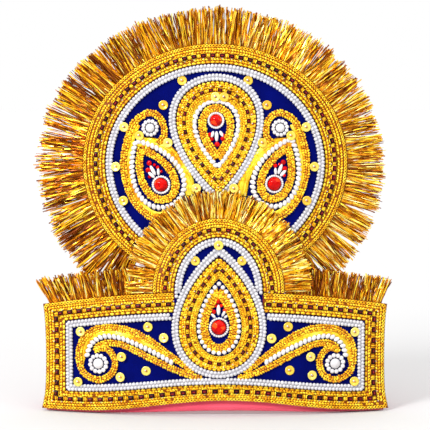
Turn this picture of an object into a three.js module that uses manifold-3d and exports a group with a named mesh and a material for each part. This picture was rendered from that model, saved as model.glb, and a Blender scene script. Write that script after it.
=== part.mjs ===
// A costume crown of cloth-covered card: a low bowed front board with a raised arch, an oval disc
// board behind it, and a closed head band that carries both. Navy velvet fills the boards, gold lace
// edges them, and rows of pearls, gold cords, foil, sequins and red stones are sewn on. A metallic
// fringe stands out all round.
//
// Millimetres, +Z up. The crown stands on its head band, its face looks along -Y, and the origin is at
// the middle of its bounding box's base. The boards are bowed about one upright axis, so every piece is
// laid out as it is seen from the front, at (x, height), and then set at its depth, measured outwards
// from the front board's face.

import * as THREE from "three";
import { mergeVertices } from "three/addons/utils/BufferGeometryUtils.js";
import Module from "manifold-3d";

const wasm = await Module();
wasm.setup();

// ---- driving dimensions ----

const GAP = 0.3; // between pieces that touch
const BOW_RADIUS = 364; // of the front board's face, in plan

const BOARD = { thick: 3, halfWidth: 130 };
const BAND = {
  foot: 1,
  footRise: 10.1,
  riseHalfWidth: 114,
  fade: 72,
  shoulder: 85.2,
  topRise: 9.8,
  topSpan: 117,
};
const ARCH = { x: 2.6, height: 94.6, halfWidth: 50.2, rise: 56 }; // raised middle of the front board
const DISC = { height: 190.5, halfWidth: 101, halfHeight: 91 };
const HEAD_BAND = { thick: 2, halfWidth: 129, depth: 92, corner: 8, frontTop: 78, backTop: 60 };

const VELVET = { thick: 1 };
const LACE = { thick: 1.7, side: 15.6, top: 13.4, foot: 15.4 };
const PEARLS = { double: 5.6, zigzag: 3.8, single: 3.2, thick: 2.2 };
const CORD = { width: 5.2, narrow: 3.8, thick: 1.8 };
const FOIL = { width: 2.2, thick: 0.9 };
const FRINGE = { disc: 29.5, arch: 22, band: 21, thick: 1.3, discEnd: 54, fan: 4.5 };
const SEQUIN = { radius: 3.5, thick: 0.6, beadTop: 1.8 };
const THREAD = { width: 0.6, thick: 0.4, pin: 0.45, room: 0.3 };
const STONE_HEIGHT = 4.2;

// Depths of the layers above a board's face: thread, then velvet, then what is sewn on it
const ON_BOARD = GAP;
const ON_THREAD = ON_BOARD + THREAD.thick + GAP;
const ON_VELVET = ON_THREAD + VELVET.thick + GAP;
const ON_ROWS = ON_VELVET + PEARLS.thick + GAP;
const DISC_DEPTH = -(BOARD.thick + GAP + ON_VELVET + PEARLS.thick); // its pearls lie against the arch's back
const LEVEL = { front: 0, disc: DISC_DEPTH };

// Drop-shaped rings: half width, reach towards the point, and reach of the round end, from the drop's centre
const FRONT_DROP = {
  x: 2.6,
  height: 63.3,
  point: 1,
  pearls: { half: 32.4, tip: 62.1, round: 29.8 },
  laceOuter: { half: 29.2, tip: 57, round: 26.7 },
  laceInner: { half: 17.4, tip: 42, round: 16.6 },
  innerPearls: { half: 15.2, tip: 38, round: 14.4 },
  cord: { half: 10.2, tip: 26, round: 10 },
};
const DISC_DROP = {
  x: 0.5,
  height: 226.1,
  point: -1,
  pearls: { half: 33.2, tip: 55.5, round: 32.4 },
  laceOuter: { half: 29.9, tip: 50.4, round: 29.2 },
  laceInner: { half: 18.4, tip: 38.5, round: 15.9 },
  innerPearls: { half: 16.1, tip: 34.2, round: 13.6 },
  cord: { half: 10.9, tip: 25, round: 8.4 },
};

// The paisley on the disc's +X side, and the scroll on the front board's +X side; the -X ones mirror them
const PAISLEY = {
  x: 42.5,
  height: 175.9,
  lean: 26,
  pearls: { half: 17.7, tip: 36.2, round: 17.3 },
  cord: { half: 11.7, tip: 27.5, round: 11.7 },
  rosette: { x: 49, height: 218.2, radius: 6.5 },
  outerCord: [
    { x: 38.9, v: 211.5 }, { x: 38.6, v: 219 }, { x: 42, v: 226.4 }, { x: 49.4, v: 229.7 },
    { x: 60.4, v: 222.8 }, { x: 66.3, v: 209.5 }, { x: 69.4, v: 190 }, { x: 66.6, v: 173.5 },
    { x: 59.3, v: 159.5 }, { x: 46, v: 149.8 }, { x: 32.5, v: 151 }, { x: 21.5, v: 158.5 },
  ],
  foil: [
    { x: 46, v: 208 }, { x: 35.4, v: 201.9 }, { x: 26, v: 191 }, { x: 21.1, v: 182.8 },
  ],
};
const SCROLL = {
  x: 2.3,
  rosette: { x: 89, height: 40.2, radius: 7.3 },
  outerCord: [
    { x: 26.6, v: 38.4 }, { x: 38, v: 47.3 }, { x: 52, v: 57.9 }, { x: 66, v: 64.8 },
    { x: 79, v: 67 }, { x: 91, v: 64.8 }, { x: 100.3, v: 57 }, { x: 103.2, v: 44 },
    { x: 99.8, v: 31.5 }, { x: 89.5, v: 26.5 }, { x: 79.6, v: 31.2 }, { x: 77, v: 41.5 },
    { x: 82, v: 49.2 }, { x: 89.5, v: 50.8 },
  ],
  innerCord: [
    { x: 89.5, v: 50.8 }, { x: 83, v: 54.6 }, { x: 74, v: 54.5 }, { x: 60, v: 48.5 },
    { x: 44, v: 40.4 }, { x: 31.5, v: 35.6 },
  ],
  pearls: [
    { x: 97.6, v: 43.4 }, { x: 94.2, v: 53.4 }, { x: 86, v: 59.6 }, { x: 74, v: 59.3 },
    { x: 58, v: 53 }, { x: 44.5, v: 46.2 },
  ],
};

// Red stones in their white rims
const STONES = [
  { name: "front_drop_stone", x: 2.6, v: 66.8, radius: 7.6, board: "front" },
  { name: "disc_drop_stone", x: 0.5, v: 224.9, radius: 6.3, board: "disc" },
  { name: "paisley_stone_left", x: -42.5, v: 175.9, radius: 7, board: "disc" },
  { name: "paisley_stone_right", x: 42.5, v: 175.9, radius: 7, board: "disc" },
];

// Sequins in the order in which their thread joins them
const DISC_SIDE_SEQUINS = [
  { x: 26, v: 255.6 }, { x: 39.2, v: 237 }, { x: 68, v: 219.7 }, { x: 57.8, v: 213.5 },
  { x: 36.5, v: 208.1 }, { x: 75.2, v: 189.4 }, { x: 69.9, v: 163.5 }, { x: 17.5, v: 176 },
];
const DISC_TOP_SEQUINS = [
  { x: -0.8, v: 243.6 }, { x: 6.6, v: 243.4 },
];
const WING_SEQUINS = [
  { x: 104.4, v: 63 }, { x: 53.2, v: 67.8 }, { x: 41.2, v: 59.3 }, { x: 71.5, v: 44.8 },
  { x: 54.7, v: 34 }, { x: 72.8, v: 29.8 }, { x: 104.8, v: 25 },
];
const ARCH_SEQUINS = [
  { x: -17.6, v: 118.5 }, { x: 0, v: 130.5 }, { x: 17.6, v: 118.5 },
];

const PINK = { color: 0xf2617f, roughness: 0.75, metalness: 0 };
const NAVY = { color: 0x04125a, roughness: 0.85, metalness: 0 };
const GOLD = { color: 0xe8b020, roughness: 0.35, metalness: 0.9 };
const PEARL = { color: 0xf2f1f5, roughness: 0.25, metalness: 0 };
const RED = { color: 0xd8140c, roughness: 0.1, metalness: 0 };

// ---- placing: from the layout (x, height, depth) to the crown ----

const FRONT_MOST = ON_ROWS + SEQUIN.beadTop; // the arch's middle sequin, above the board's face
const FACE_Y = (FRONT_MOST - HEAD_BAND.depth) / 2; // of the front board's face, at its middle
const BOW_Y = FACE_Y + BOW_RADIUS;

function place(x, v, depth) {
  const r = BOW_RADIUS + depth;
  return new THREE.Vector3(x, BOW_Y - Math.sqrt(r * r - x * x), v);
}

// Turns a piece that was made round the Y axis so that it stands on the bowed face at (x, v)
function standing(x, v, depth) {
  const sine = x / (BOW_RADIUS + depth);
  const cosine = Math.sqrt(1 - sine * sine);
  const along = new THREE.Vector3(cosine, sine, 0);
  const out = new THREE.Vector3(sine, -cosine, 0);
  return new THREE.Matrix4()
    .makeBasis(along, out, new THREE.Vector3(0, 0, -1))
    .setPosition(place(x, v, depth));
}

// ---- solids ----

function solidOf(geometry) {
  const bare = geometry.index ? geometry.toNonIndexed() : geometry.clone();
  bare.deleteAttribute("normal");
  bare.deleteAttribute("uv");
  const merged = mergeVertices(bare, 1e-4);
  const triVerts = new Uint32Array(merged.index.array);
  const made = new wasm.Manifold(
    new wasm.Mesh({ numProp: 3, vertProperties: merged.attributes.position.array, triVerts }),
  );
  if (made.volume() > 0) return made;
  for (let i = 0; i < triVerts.length; i += 3) {
    [triVerts[i + 1], triVerts[i + 2]] = [triVerts[i + 2], triVerts[i + 1]];
  }
  return new wasm.Manifold(
    new wasm.Mesh({ numProp: 3, vertProperties: merged.attributes.position.array, triVerts }),
  );
}

function geometryOf(solid) {
  const mesh = solid.getMesh();
  const positions = new Float32Array(mesh.numVert * 3);
  for (let i = 0; i < mesh.numVert; i++) {
    positions.set(mesh.vertProperties.subarray(i * mesh.numProp, i * mesh.numProp + 3), i * 3);
  }
  const geometry = new THREE.BufferGeometry();
  geometry.setAttribute("position", new THREE.BufferAttribute(positions, 3));
  geometry.setIndex(new THREE.BufferAttribute(new Uint32Array(mesh.triVerts), 1));
  return geometry;
}

// A closed solid through sections of equal length, each a ring of points
function loft(sections, closed) {
  const ring = sections[0].length;
  const positions = sections.flatMap((section) => section.flatMap((p) => [p.x, p.y, p.z]));
  const index = [];
  const steps = closed ? sections.length : sections.length - 1;
  for (let i = 0; i < steps; i++) {
    const a = i * ring;
    const b = ((i + 1) % sections.length) * ring;
    for (let j = 0; j < ring; j++) {
      const k = (j + 1) % ring;
      index.push(a + j, a + k, b + k, a + j, b + k, b + j);
    }
  }
  if (!closed) {
    const last = (sections.length - 1) * ring;
    for (let j = 1; j < ring - 1; j++) {
      index.push(0, j + 1, j, last, last + j, last + j + 1);
    }
  }
  const geometry = new THREE.BufferGeometry();
  geometry.setAttribute("position", new THREE.Float32BufferAttribute(positions, 3));
  geometry.setIndex(index);
  return solidOf(geometry);
}

// A flat sheet between two lower and upper edges, given at columns from left to right
function sheet(columns, bottom, top, low, high) {
  return loft(columns.map((x) => [
    place(x, bottom(x), low), place(x, top(x), low), place(x, top(x), high), place(x, bottom(x), high),
  ]), false);
}

// A flat band between two curves that run side by side
function ribbon(inner, outer, low, high, closed) {
  return loft(inner.map((p, i) => {
    const q = outer[i];
    return [place(p.x, p.v, low), place(q.x, q.v, low), place(q.x, q.v, high), place(p.x, p.v, high)];
  }), closed);
}

// A band with sloping sides, for cords and rows of pearls
function ridge(inner, outer, low, high, closed) {
  const SLOPE = 0.22; // share of the width that each side leans in
  return loft(inner.map((p, i) => {
    const q = outer[i];
    const at = (share, depth) => place(p.x + (q.x - p.x) * share, p.v + (q.v - p.v) * share, depth);
    return [at(0, low), at(1, low), at(1 - SLOPE, high), at(SLOPE, high)];
  }), closed);
}

// ---- curves ----

const range = (count) => [...Array(count).keys()];

// Points round an ellipse from one angle to another, in degrees from +X
function ellipse(x, v, halfWidth, halfHeight, from, to, steps) {
  return range(steps + 1).map((i) => {
    const angle = THREE.MathUtils.degToRad(from + ((to - from) * i) / steps);
    return { x: x + halfWidth * Math.cos(angle), v: v + halfHeight * Math.sin(angle) };
  });
}

// Points round a drop, with its point first; lean turns the point towards +X, in degrees
function drop(at, size, steps, point = 1, lean = 0) {
  const FULLNESS = 0.7; // of the drop's shoulders
  const WIDEST = 0.8216; // of the formula below, so that half is the true half width
  const turn = THREE.MathUtils.degToRad(lean);
  const middle = (size.tip - size.round) / 2;
  const reach = (size.tip + size.round) / 2;
  return range(steps).map((i) => {
    const t = (2 * Math.PI * i) / steps;
    const across = (size.half / WIDEST) * Math.sin(t) * Math.abs(Math.sin(t / 2)) ** FULLNESS;
    const up = point * (middle + reach * Math.cos(t));
    return {
      x: at.x + across * Math.cos(turn) + up * Math.sin(turn),
      v: at.height + up * Math.cos(turn) - across * Math.sin(turn),
    };
  });
}

const grown = (size, by) => ({ half: size.half + by, tip: size.tip + 1.6 * by, round: size.round + by });

// A smooth curve through a few points, with its two edges, each at half the width
function sides(points, width, steps) {
  const knots = points.map((p) => new THREE.Vector3(p.x, p.v, 0));
  const curve = new THREE.CatmullRomCurve3(knots, false, "centripetal");
  const inner = [];
  const outer = [];
  for (let i = 0; i <= steps; i++) {
    const p = curve.getPointAt(i / steps);
    const t = curve.getTangentAt(i / steps);
    inner.push({ x: p.x + (t.y * width) / 2, v: p.y - (t.x * width) / 2 });
    outer.push({ x: p.x - (t.y * width) / 2, v: p.y + (t.x * width) / 2 });
  }
  return { inner, outer };
}

// ---- outlines of the two boards ----

function footRise(x) {
  const share = Math.min(Math.abs(x) / BAND.riseHalfWidth, 1);
  return (BAND.footRise / 2) * (1 + Math.cos(Math.PI * share));
}
const bandFoot = (inset) => (x) => BAND.foot + inset + footRise(x) * (1 - inset / BAND.fade);
const bandTop = (inset) => (x) => BAND.shoulder - inset + BAND.topRise * (1 - (x / BAND.topSpan) ** 2);

// The front board's upper edge: the arch where it stands above the band
function frontTop(inset, halfWidth, rise) {
  const band = bandTop(inset);
  return (x) => {
    const share = (x - ARCH.x) / halfWidth;
    if (Math.abs(share) >= 1) return band(x);
    return Math.max(band(x), ARCH.height + rise * Math.sqrt(1 - share * share));
  };
}

// Columns across the front board, close together round the arch and at its two feet
function frontColumns(halfWidth, archHalfWidth) {
  const STEP = 8.5;
  const FOOT = 0.2; // width of the slope at the arch's foot
  const arch = range(19).map((i) => ARCH.x - (archHalfWidth - FOOT) * Math.cos((Math.PI * i) / 18));
  const feet = [ARCH.x - archHalfWidth, ARCH.x + archHalfWidth];
  const wing = (from, to) => {
    const count = Math.ceil((to - from) / STEP);
    return range(count).map((i) => from + ((to - from) * i) / count);
  };
  return [...wing(-halfWidth, feet[0]), feet[0], ...arch, ...wing(feet[1], halfWidth), halfWidth];
}

function ovalSheet(halfWidth, halfHeight, low, high) {
  const BLUNT = 3; // degrees left off each end, where the oval would close to an edge
  const steps = 36;
  const columns = range(steps + 1).map((i) => (
    -halfWidth * Math.cos(THREE.MathUtils.degToRad(BLUNT + ((180 - 2 * BLUNT) * i) / steps))
  ));
  const reach = (x) => halfHeight * Math.sqrt(1 - (x / halfWidth) ** 2);
  return sheet(columns, (x) => DISC.height - reach(x), (x) => DISC.height + reach(x), low, high);
}

// ---- boards, head band and velvet ----

const solids = {};
const materials = {};
function keep(name, solid, look) {
  solids[name] = solid;
  materials[name] = look;
}

const laceInnerArch = { halfWidth: 33.6, rise: 41.7 };
const laceInnerDisc = { halfWidth: 82.6, halfHeight: 77.4 };
const edgeInset = 0.4; // the lace covers the boards' cut edges

keep("front_board", sheet(
  frontColumns(BOARD.halfWidth - edgeInset, ARCH.halfWidth - edgeInset),
  bandFoot(edgeInset),
  frontTop(edgeInset, ARCH.halfWidth - edgeInset, ARCH.rise - edgeInset),
  -BOARD.thick, 0,
), PINK);

keep("disc_board", ovalSheet(
  DISC.halfWidth - edgeInset, DISC.halfHeight - edgeInset, DISC_DEPTH - BOARD.thick, DISC_DEPTH,
), PINK);

keep("front_velvet", sheet(
  frontColumns(BOARD.halfWidth - LACE.side - GAP, laceInnerArch.halfWidth - GAP),
  bandFoot(LACE.foot + GAP),
  frontTop(LACE.top + GAP, laceInnerArch.halfWidth - GAP, laceInnerArch.rise - GAP),
  ON_THREAD, ON_THREAD + VELVET.thick,
), NAVY);

keep("disc_velvet", ovalSheet(
  laceInnerDisc.halfWidth - GAP, laceInnerDisc.halfHeight - GAP,
  DISC_DEPTH + ON_THREAD, DISC_DEPTH + ON_THREAD + VELVET.thick,
), NAVY);

// The head band is a closed loop: bowed in front, behind the board, and rounder at the back
function headBand() {
  const { thick, halfWidth, depth, corner, frontTop: tall, backTop: low } = HEAD_BAND;
  const frontRadius = BOW_RADIUS - BOARD.thick - GAP;
  const backY = FACE_Y + depth;
  const cornerX = halfWidth - corner;
  const cornerY = BOW_Y - Math.sqrt((frontRadius - corner) ** 2 - cornerX ** 2);
  const inside = backY - corner;
  const backCentreY = (inside ** 2 - cornerX ** 2 - cornerY ** 2) / (2 * (inside - cornerY));
  const backRadius = backY - backCentreY;
  const frontAngle = Math.atan2(cornerX, BOW_Y - cornerY);
  const backAngle = Math.atan2(cornerX, cornerY - backCentreY);

  // arcs round the loop, each from where the last one ends to its own last angle from the +X axis
  const arcs = [
    { x: 0, y: BOW_Y, r: frontRadius, to: frontAngle - Math.PI / 2, steps: 30 },
    { x: cornerX, y: cornerY, r: corner, to: Math.PI / 2 - backAngle, steps: 7 },
    { x: 0, y: backCentreY, r: backRadius, to: Math.PI / 2 + backAngle, steps: 30 },
    { x: -cornerX, y: cornerY, r: corner, to: 1.5 * Math.PI - frontAngle, steps: 7 },
  ];
  const sections = arcs.flatMap((arc, which) => range(arc.steps).map((i) => {
    const from = which === 0 ? -Math.PI / 2 - frontAngle : arcs[which - 1].to;
    const angle = from + ((arc.to - from) * i) / arc.steps;
    const at = (r) => ({ x: arc.x + r * Math.cos(angle), y: arc.y + r * Math.sin(angle) });
    const outer = at(arc.r);
    const inner = at(arc.r - thick);
    const back = Math.max(0, (outer.y - cornerY) / (backY - cornerY));
    const top = tall - (tall - low) * THREE.MathUtils.smoothstep(back, 0, 0.7);
    return [
      new THREE.Vector3(outer.x, outer.y, 0), new THREE.Vector3(outer.x, outer.y, top),
      new THREE.Vector3(inner.x, inner.y, top), new THREE.Vector3(inner.x, inner.y, 0),
    ];
  }));
  return loft(sections, true);
}
keep("head_band", headBand(), PINK);

// ---- lace along the edges ----

// A line round the band, from one side of the arch to the other: share 0 runs along the lace's outer
// edge, 1 along its inner one, and more is the way further in
function bandLine(share, more, archGap) {
  const side = BOARD.halfWidth - share * LACE.side - more;
  const foot = bandFoot(share * LACE.foot + more);
  const top = bandTop(share * LACE.top + more);
  const ACROSS = 11;
  const UP = 4;
  const across = (from, to, edge, steps) => range(steps).map((i) => {
    const x = from + ((to - from) * i) / steps;
    return { x, v: edge(x) };
  });
  const up = (x, from, to) => range(UP).map((i) => ({ x, v: from + ((to - from) * i) / UP }));
  return [
    ...across(ARCH.x - archGap, -side, top, ACROSS),
    ...up(-side, top(-side), foot(-side)),
    ...across(-side, side, foot, 2 * ACROSS),
    ...up(side, foot(side), top(side)),
    ...across(side, ARCH.x + archGap, top, ACROSS),
    { x: ARCH.x + archGap, v: top(ARCH.x + archGap) },
  ];
}
const laceArchGap = laceInnerArch.halfWidth + GAP;
keep("band_lace", ribbon(
  bandLine(1, 0, laceArchGap), bandLine(0, 0, laceArchGap), ON_BOARD, ON_BOARD + LACE.thick, false,
), GOLD);

// The arch's rows stand on the band's, so their feet are cut along that one's upper edge
function archLine(halfWidth, rise, footInset, steps) {
  const edge = bandTop(footInset - GAP)(halfWidth - ARCH.x) - ARCH.height;
  const foot = THREE.MathUtils.radToDeg(Math.asin(edge / rise));
  return ellipse(ARCH.x, ARCH.height, halfWidth, rise, foot, 180 - foot, steps);
}
keep("arch_lace", ribbon(
  archLine(laceInnerArch.halfWidth, laceInnerArch.rise, 0, 22), archLine(ARCH.halfWidth, ARCH.rise, 0, 22),
  ON_BOARD, ON_BOARD + LACE.thick, false,
), GOLD);

const ovalLine = (halfWidth, halfHeight, steps, from = 0, to = 360) => (
  ellipse(0, DISC.height, halfWidth, halfHeight, from, to, steps)
);
keep("disc_lace", ribbon(
  ovalLine(laceInnerDisc.halfWidth, laceInnerDisc.halfHeight, 46).slice(1),
  ovalLine(DISC.halfWidth, DISC.halfHeight, 46).slice(1),
  DISC_DEPTH + ON_BOARD, DISC_DEPTH + ON_BOARD + LACE.thick, true,
), GOLD);

// ---- fringes, each as the outline of its strands ----

const fringeDepth = { disc: DISC_DEPTH - 2.2, arch: -1.3, band: -3.1 };
const discTips = (by) => (
  ovalLine(DISC.halfWidth + by, DISC.halfHeight + by, 40, -FRINGE.discEnd, 180 + FRINGE.discEnd)
);
keep("disc_fringe", ribbon(
  discTips(GAP), discTips(FRINGE.disc), fringeDepth.disc, fringeDepth.disc + FRINGE.thick, false,
), GOLD);

keep("arch_fringe", ribbon(
  archLine(ARCH.halfWidth + GAP, ARCH.rise + GAP, 0, 20),
  archLine(ARCH.halfWidth + FRINGE.arch, ARCH.rise + FRINGE.arch, 0, 20),
  fringeDepth.arch, fringeDepth.arch + FRINGE.thick, false,
), GOLD);

function bandFringe(side) {
  const STEPS = 9;
  const root = bandTop(-GAP);
  const from = BOARD.halfWidth - 1;
  const to = ARCH.halfWidth + GAP + side * ARCH.x;
  const roots = range(STEPS + 1).map((i) => side * (from + ((to - from) * i) / STEPS));
  const inner = roots.map((x) => ({ x, v: root(x) }));
  const outer = roots.map((x, i) => ({
    x: x + side * FRINGE.fan * (1 - i / STEPS) ** 3,
    v: root(x) + FRINGE.band,
  }));
  return ribbon(inner, outer, fringeDepth.band, fringeDepth.band + FRINGE.thick, false);
}
keep("band_fringe_left", bandFringe(-1), GOLD);
keep("band_fringe_right", bandFringe(1), GOLD);

// ---- pearls, cords and foil ----

// A closed row round a drop, and the lace between two of its outlines
function dropRow(shape, size, width, low, thick, steps) {
  const line = (by) => drop(shape, grown(size, by), steps, shape.point, shape.lean);
  return ridge(line(-width / 2), line(width / 2), low, low + thick, true);
}

function dropLace(shape, low, steps) {
  const line = (size) => drop(shape, size, steps, shape.point);
  return ribbon(line(shape.laceInner), line(shape.laceOuter), low, low + LACE.thick, true);
}

function openRow(points, width, low, thick, steps) {
  const { inner, outer } = sides(points, width, steps);
  return ridge(inner, outer, low, low + thick, false);
}

const onVelvet = { front: LEVEL.front + ON_VELVET, disc: LEVEL.disc + ON_VELVET };

for (const [name, shape, low] of [
  ["front_drop", FRONT_DROP, onVelvet.front],
  ["disc_drop", DISC_DROP, onVelvet.disc],
]) {
  keep(name + "_lace", dropLace(shape, low, 34), GOLD);
  keep(name + "_pearls", dropRow(shape, shape.pearls, PEARLS.double, low, PEARLS.thick, 36), PEARL);
  const inner = dropRow(shape, shape.innerPearls, PEARLS.single, low, PEARLS.thick, 24);
  keep(name + "_inner_pearls", inner, PEARL);
  keep(name + "_cord", dropRow(shape, shape.cord, CORD.narrow, low, CORD.thick, 20), GOLD);
}

// The front drop's outline as a solid, to cut away what stops at it
function dropRoom(shape, low, high) {
  const steps = 36;
  const rim = drop(shape, grown(shape.pearls, PEARLS.double / 2 + GAP), steps, shape.point);
  const rows = range(steps / 2 - 1).map((i) => [rim[i + 1], rim[steps - 1 - i]]);
  return loft(rows.map(([a, b]) => [
    place(a.x, a.v, low), place(b.x, b.v, low), place(b.x, b.v, high), place(a.x, a.v, high),
  ]), false);
}
const frontDropRoom = dropRoom(FRONT_DROP, onVelvet.front - 4, onVelvet.front + PEARLS.thick + 4);

const pearlArchGap = 20; // inside the drop, where the row is cut
keep("band_pearls", ridge(
  bandLine(1, GAP + PEARLS.double, pearlArchGap), bandLine(1, GAP, pearlArchGap),
  onVelvet.front, onVelvet.front + PEARLS.thick, false,
).subtract(frontDropRoom), PEARL);

const archPearls = { halfWidth: laceInnerArch.halfWidth - GAP, rise: laceInnerArch.rise - GAP };
keep("arch_pearls", ridge(
  archLine(archPearls.halfWidth - PEARLS.double, archPearls.rise - PEARLS.double, LACE.top + GAP, 20),
  archLine(archPearls.halfWidth, archPearls.rise, LACE.top + GAP, 20),
  onVelvet.front, onVelvet.front + PEARLS.thick, false,
).subtract(frontDropRoom), PEARL);

const discPearls = {
  halfWidth: laceInnerDisc.halfWidth - GAP,
  halfHeight: laceInnerDisc.halfHeight - GAP,
};
keep("disc_pearls", ridge(
  ovalLine(discPearls.halfWidth - PEARLS.double, discPearls.halfHeight - PEARLS.double, 44).slice(1),
  ovalLine(discPearls.halfWidth, discPearls.halfHeight, 44).slice(1),
  onVelvet.disc, onVelvet.disc + PEARLS.thick, true,
), PEARL);

// A round ornament, turned about its own axis from a profile of radius and height
function turned(profile, x, v, depth, segments) {
  const points = profile.map(([r, h]) => new THREE.Vector2(r, h));
  return solidOf(new THREE.LatheGeometry(points, segments).applyMatrix4(standing(x, v, depth)));
}

function rosette(x, v, radius, depth) {
  const middle = 0.4 * radius;
  return turned([
    [0, 0], [radius, 0], [radius, 0.55 * PEARLS.thick], [0.75 * radius, PEARLS.thick],
    [middle, 0.6 * PEARLS.thick], [0.7 * middle, 1.3 * PEARLS.thick], [0, 1.5 * PEARLS.thick],
  ], x, v, depth, 12);
}

function stone(x, v, radius, depth) {
  const rim = 0.77 * radius;
  return turned([
    [0, 0], [radius, 0], [radius, 1.2], [0.88 * radius, 2], [rim, 1.6],
    [0.85 * rim, 0.7 * STONE_HEIGHT], [0.5 * rim, 0.95 * STONE_HEIGHT], [0, STONE_HEIGHT],
  ], x, v, depth, 14);
}

for (const { name, x, v, radius, board } of STONES) {
  keep(name, stone(x, v, radius, onVelvet[board]), RED);
}

for (const [side, sign] of [["left", -1], ["right", 1]]) {
  const facing = (points) => points.map((p) => ({ x: sign * p.x, v: p.v }));
  const low = onVelvet.disc;
  const leaf = { x: sign * PAISLEY.x, height: PAISLEY.height, point: 1, lean: sign * PAISLEY.lean };
  keep("paisley_cord_" + side, openRow(facing(PAISLEY.outerCord), CORD.width, low, CORD.thick, 30), GOLD);
  keep("paisley_pearls_" + side, dropRow(leaf, PAISLEY.pearls, PEARLS.zigzag, low, PEARLS.thick, 30), PEARL);
  keep("paisley_inner_cord_" + side, dropRow(leaf, PAISLEY.cord, CORD.narrow, low, CORD.thick, 24), GOLD);
  keep("paisley_foil_" + side, openRow(facing(PAISLEY.foil), FOIL.width, low, FOIL.thick, 8), GOLD);
  const bloom = PAISLEY.rosette;
  keep("paisley_rosette_" + side, rosette(sign * bloom.x, bloom.height, bloom.radius, low), PEARL);
}

for (const [side, sign] of [["left", -1], ["right", 1]]) {
  const facing = (points) => points.map((p) => ({ x: SCROLL.x + sign * p.x, v: p.v }));
  const low = onVelvet.front;
  const outward = openRow(facing(SCROLL.outerCord), CORD.width, low, CORD.thick, 34);
  const inward = openRow(facing(SCROLL.innerCord), CORD.width, low, CORD.thick, 11);
  keep("scroll_cord_" + side, outward.add(inward), GOLD);
  keep("scroll_pearls_" + side, openRow(facing(SCROLL.pearls), PEARLS.single, low, PEARLS.thick, 16), PEARL);
  const bloom = SCROLL.rosette;
  keep("scroll_rosette_" + side, rosette(SCROLL.x + sign * bloom.x, bloom.height, bloom.radius, low), PEARL);
}

// ---- sequins, each with a bead, joined by the thread that sews them on ----

const row = (name) => solids[name];
const frontRows = [
  "band_lace", "arch_lace", "band_pearls", "arch_pearls", "front_drop_lace", "front_drop_pearls",
  "scroll_cord_left", "scroll_cord_right", "scroll_pearls_left", "scroll_pearls_right",
];
const discRows = [
  "disc_lace", "disc_pearls", "disc_drop_lace", "disc_drop_pearls", "paisley_cord_left",
  "paisley_cord_right", "paisley_pearls_left", "paisley_pearls_right", "paisley_foil_left",
  "paisley_foil_right",
];

function disc(x, v, depth, radius, thick) {
  return turned([[0, 0], [radius, 0], [radius, thick], [0, thick]], x, v, depth, 6);
}

// A cupped sequin under its bead, on the pin of thread that comes up through the velvet
function sequin(x, v, ground, base) {
  const low = base - ground;
  const { radius, thick, beadTop } = SEQUIN;
  return turned([
    [0, 0], [THREAD.pin, 0], [THREAD.pin, low], [radius, low + 0.4 * thick], [radius, low + thick],
    [0, low + beadTop],
  ], x, v, ground, 8);
}

function thread(from, to, low) {
  const steps = Math.ceil(Math.hypot(to.x - from.x, to.v - from.v) / 12);
  const middle = { x: (from.x + to.x) / 2, v: (from.v + to.v) / 2 };
  const { inner, outer } = sides([from, middle, to], THREAD.width, steps);
  return ribbon(inner, outer, low, low + THREAD.thick, false);
}

// One string of sequins; it cuts its pins' room out of the rows and the velvet that they pass through
function sequinString(name, points, level, rows, velvet) {
  const ground = level + ON_BOARD;
  let string = null;
  points.forEach((p, i) => {
    const lying = disc(p.x, p.v, level + ON_VELVET, SEQUIN.radius, SEQUIN.thick);
    const covered = rows.filter((rowName) => row(rowName).intersect(lying).volume() > 0);
    const base = level + (covered.length > 0 ? ON_ROWS : ON_VELVET);
    const room = disc(p.x, p.v, ground - GAP, THREAD.pin + THREAD.room, base - ground + SEQUIN.thick);
    for (const rowName of [...covered, velvet]) {
      solids[rowName] = solids[rowName].subtract(room);
    }
    const piece = sequin(p.x, p.v, ground, base);
    string = string ? string.add(piece) : piece;
    if (i > 0) string = string.add(thread(points[i - 1], p, ground));
  });
  keep(name, string, GOLD);
}

const onDisc = (name, points) => sequinString(name, points, LEVEL.disc, discRows, "disc_velvet");
const onFront = (name, points) => sequinString(name, points, LEVEL.front, frontRows, "front_velvet");
for (const [side, sign] of [["left", -1], ["right", 1]]) {
  const facing = (points, centre) => points.map((p) => ({ x: centre + sign * p.x, v: p.v }));
  onDisc("disc_sequins_" + side, facing(DISC_SIDE_SEQUINS, 0));
  onFront("band_sequins_" + side, facing(WING_SEQUINS, SCROLL.x));
}
onDisc("disc_sequins_top", DISC_TOP_SEQUINS);
onFront("arch_sequins", ARCH_SEQUINS.map((p) => ({ x: ARCH.x + p.x, v: p.v })));

// ---- the crown ----

const crown = new THREE.Group();
for (const name of Object.keys(solids)) {
  const mesh = new THREE.Mesh(geometryOf(solids[name]), new THREE.MeshStandardMaterial(materials[name]));
  mesh.name = name;
  crown.add(mesh);
}

export default crown;
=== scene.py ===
import math
import random

import bpy
import numpy as np
from mathutils import Matrix, Vector


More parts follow.
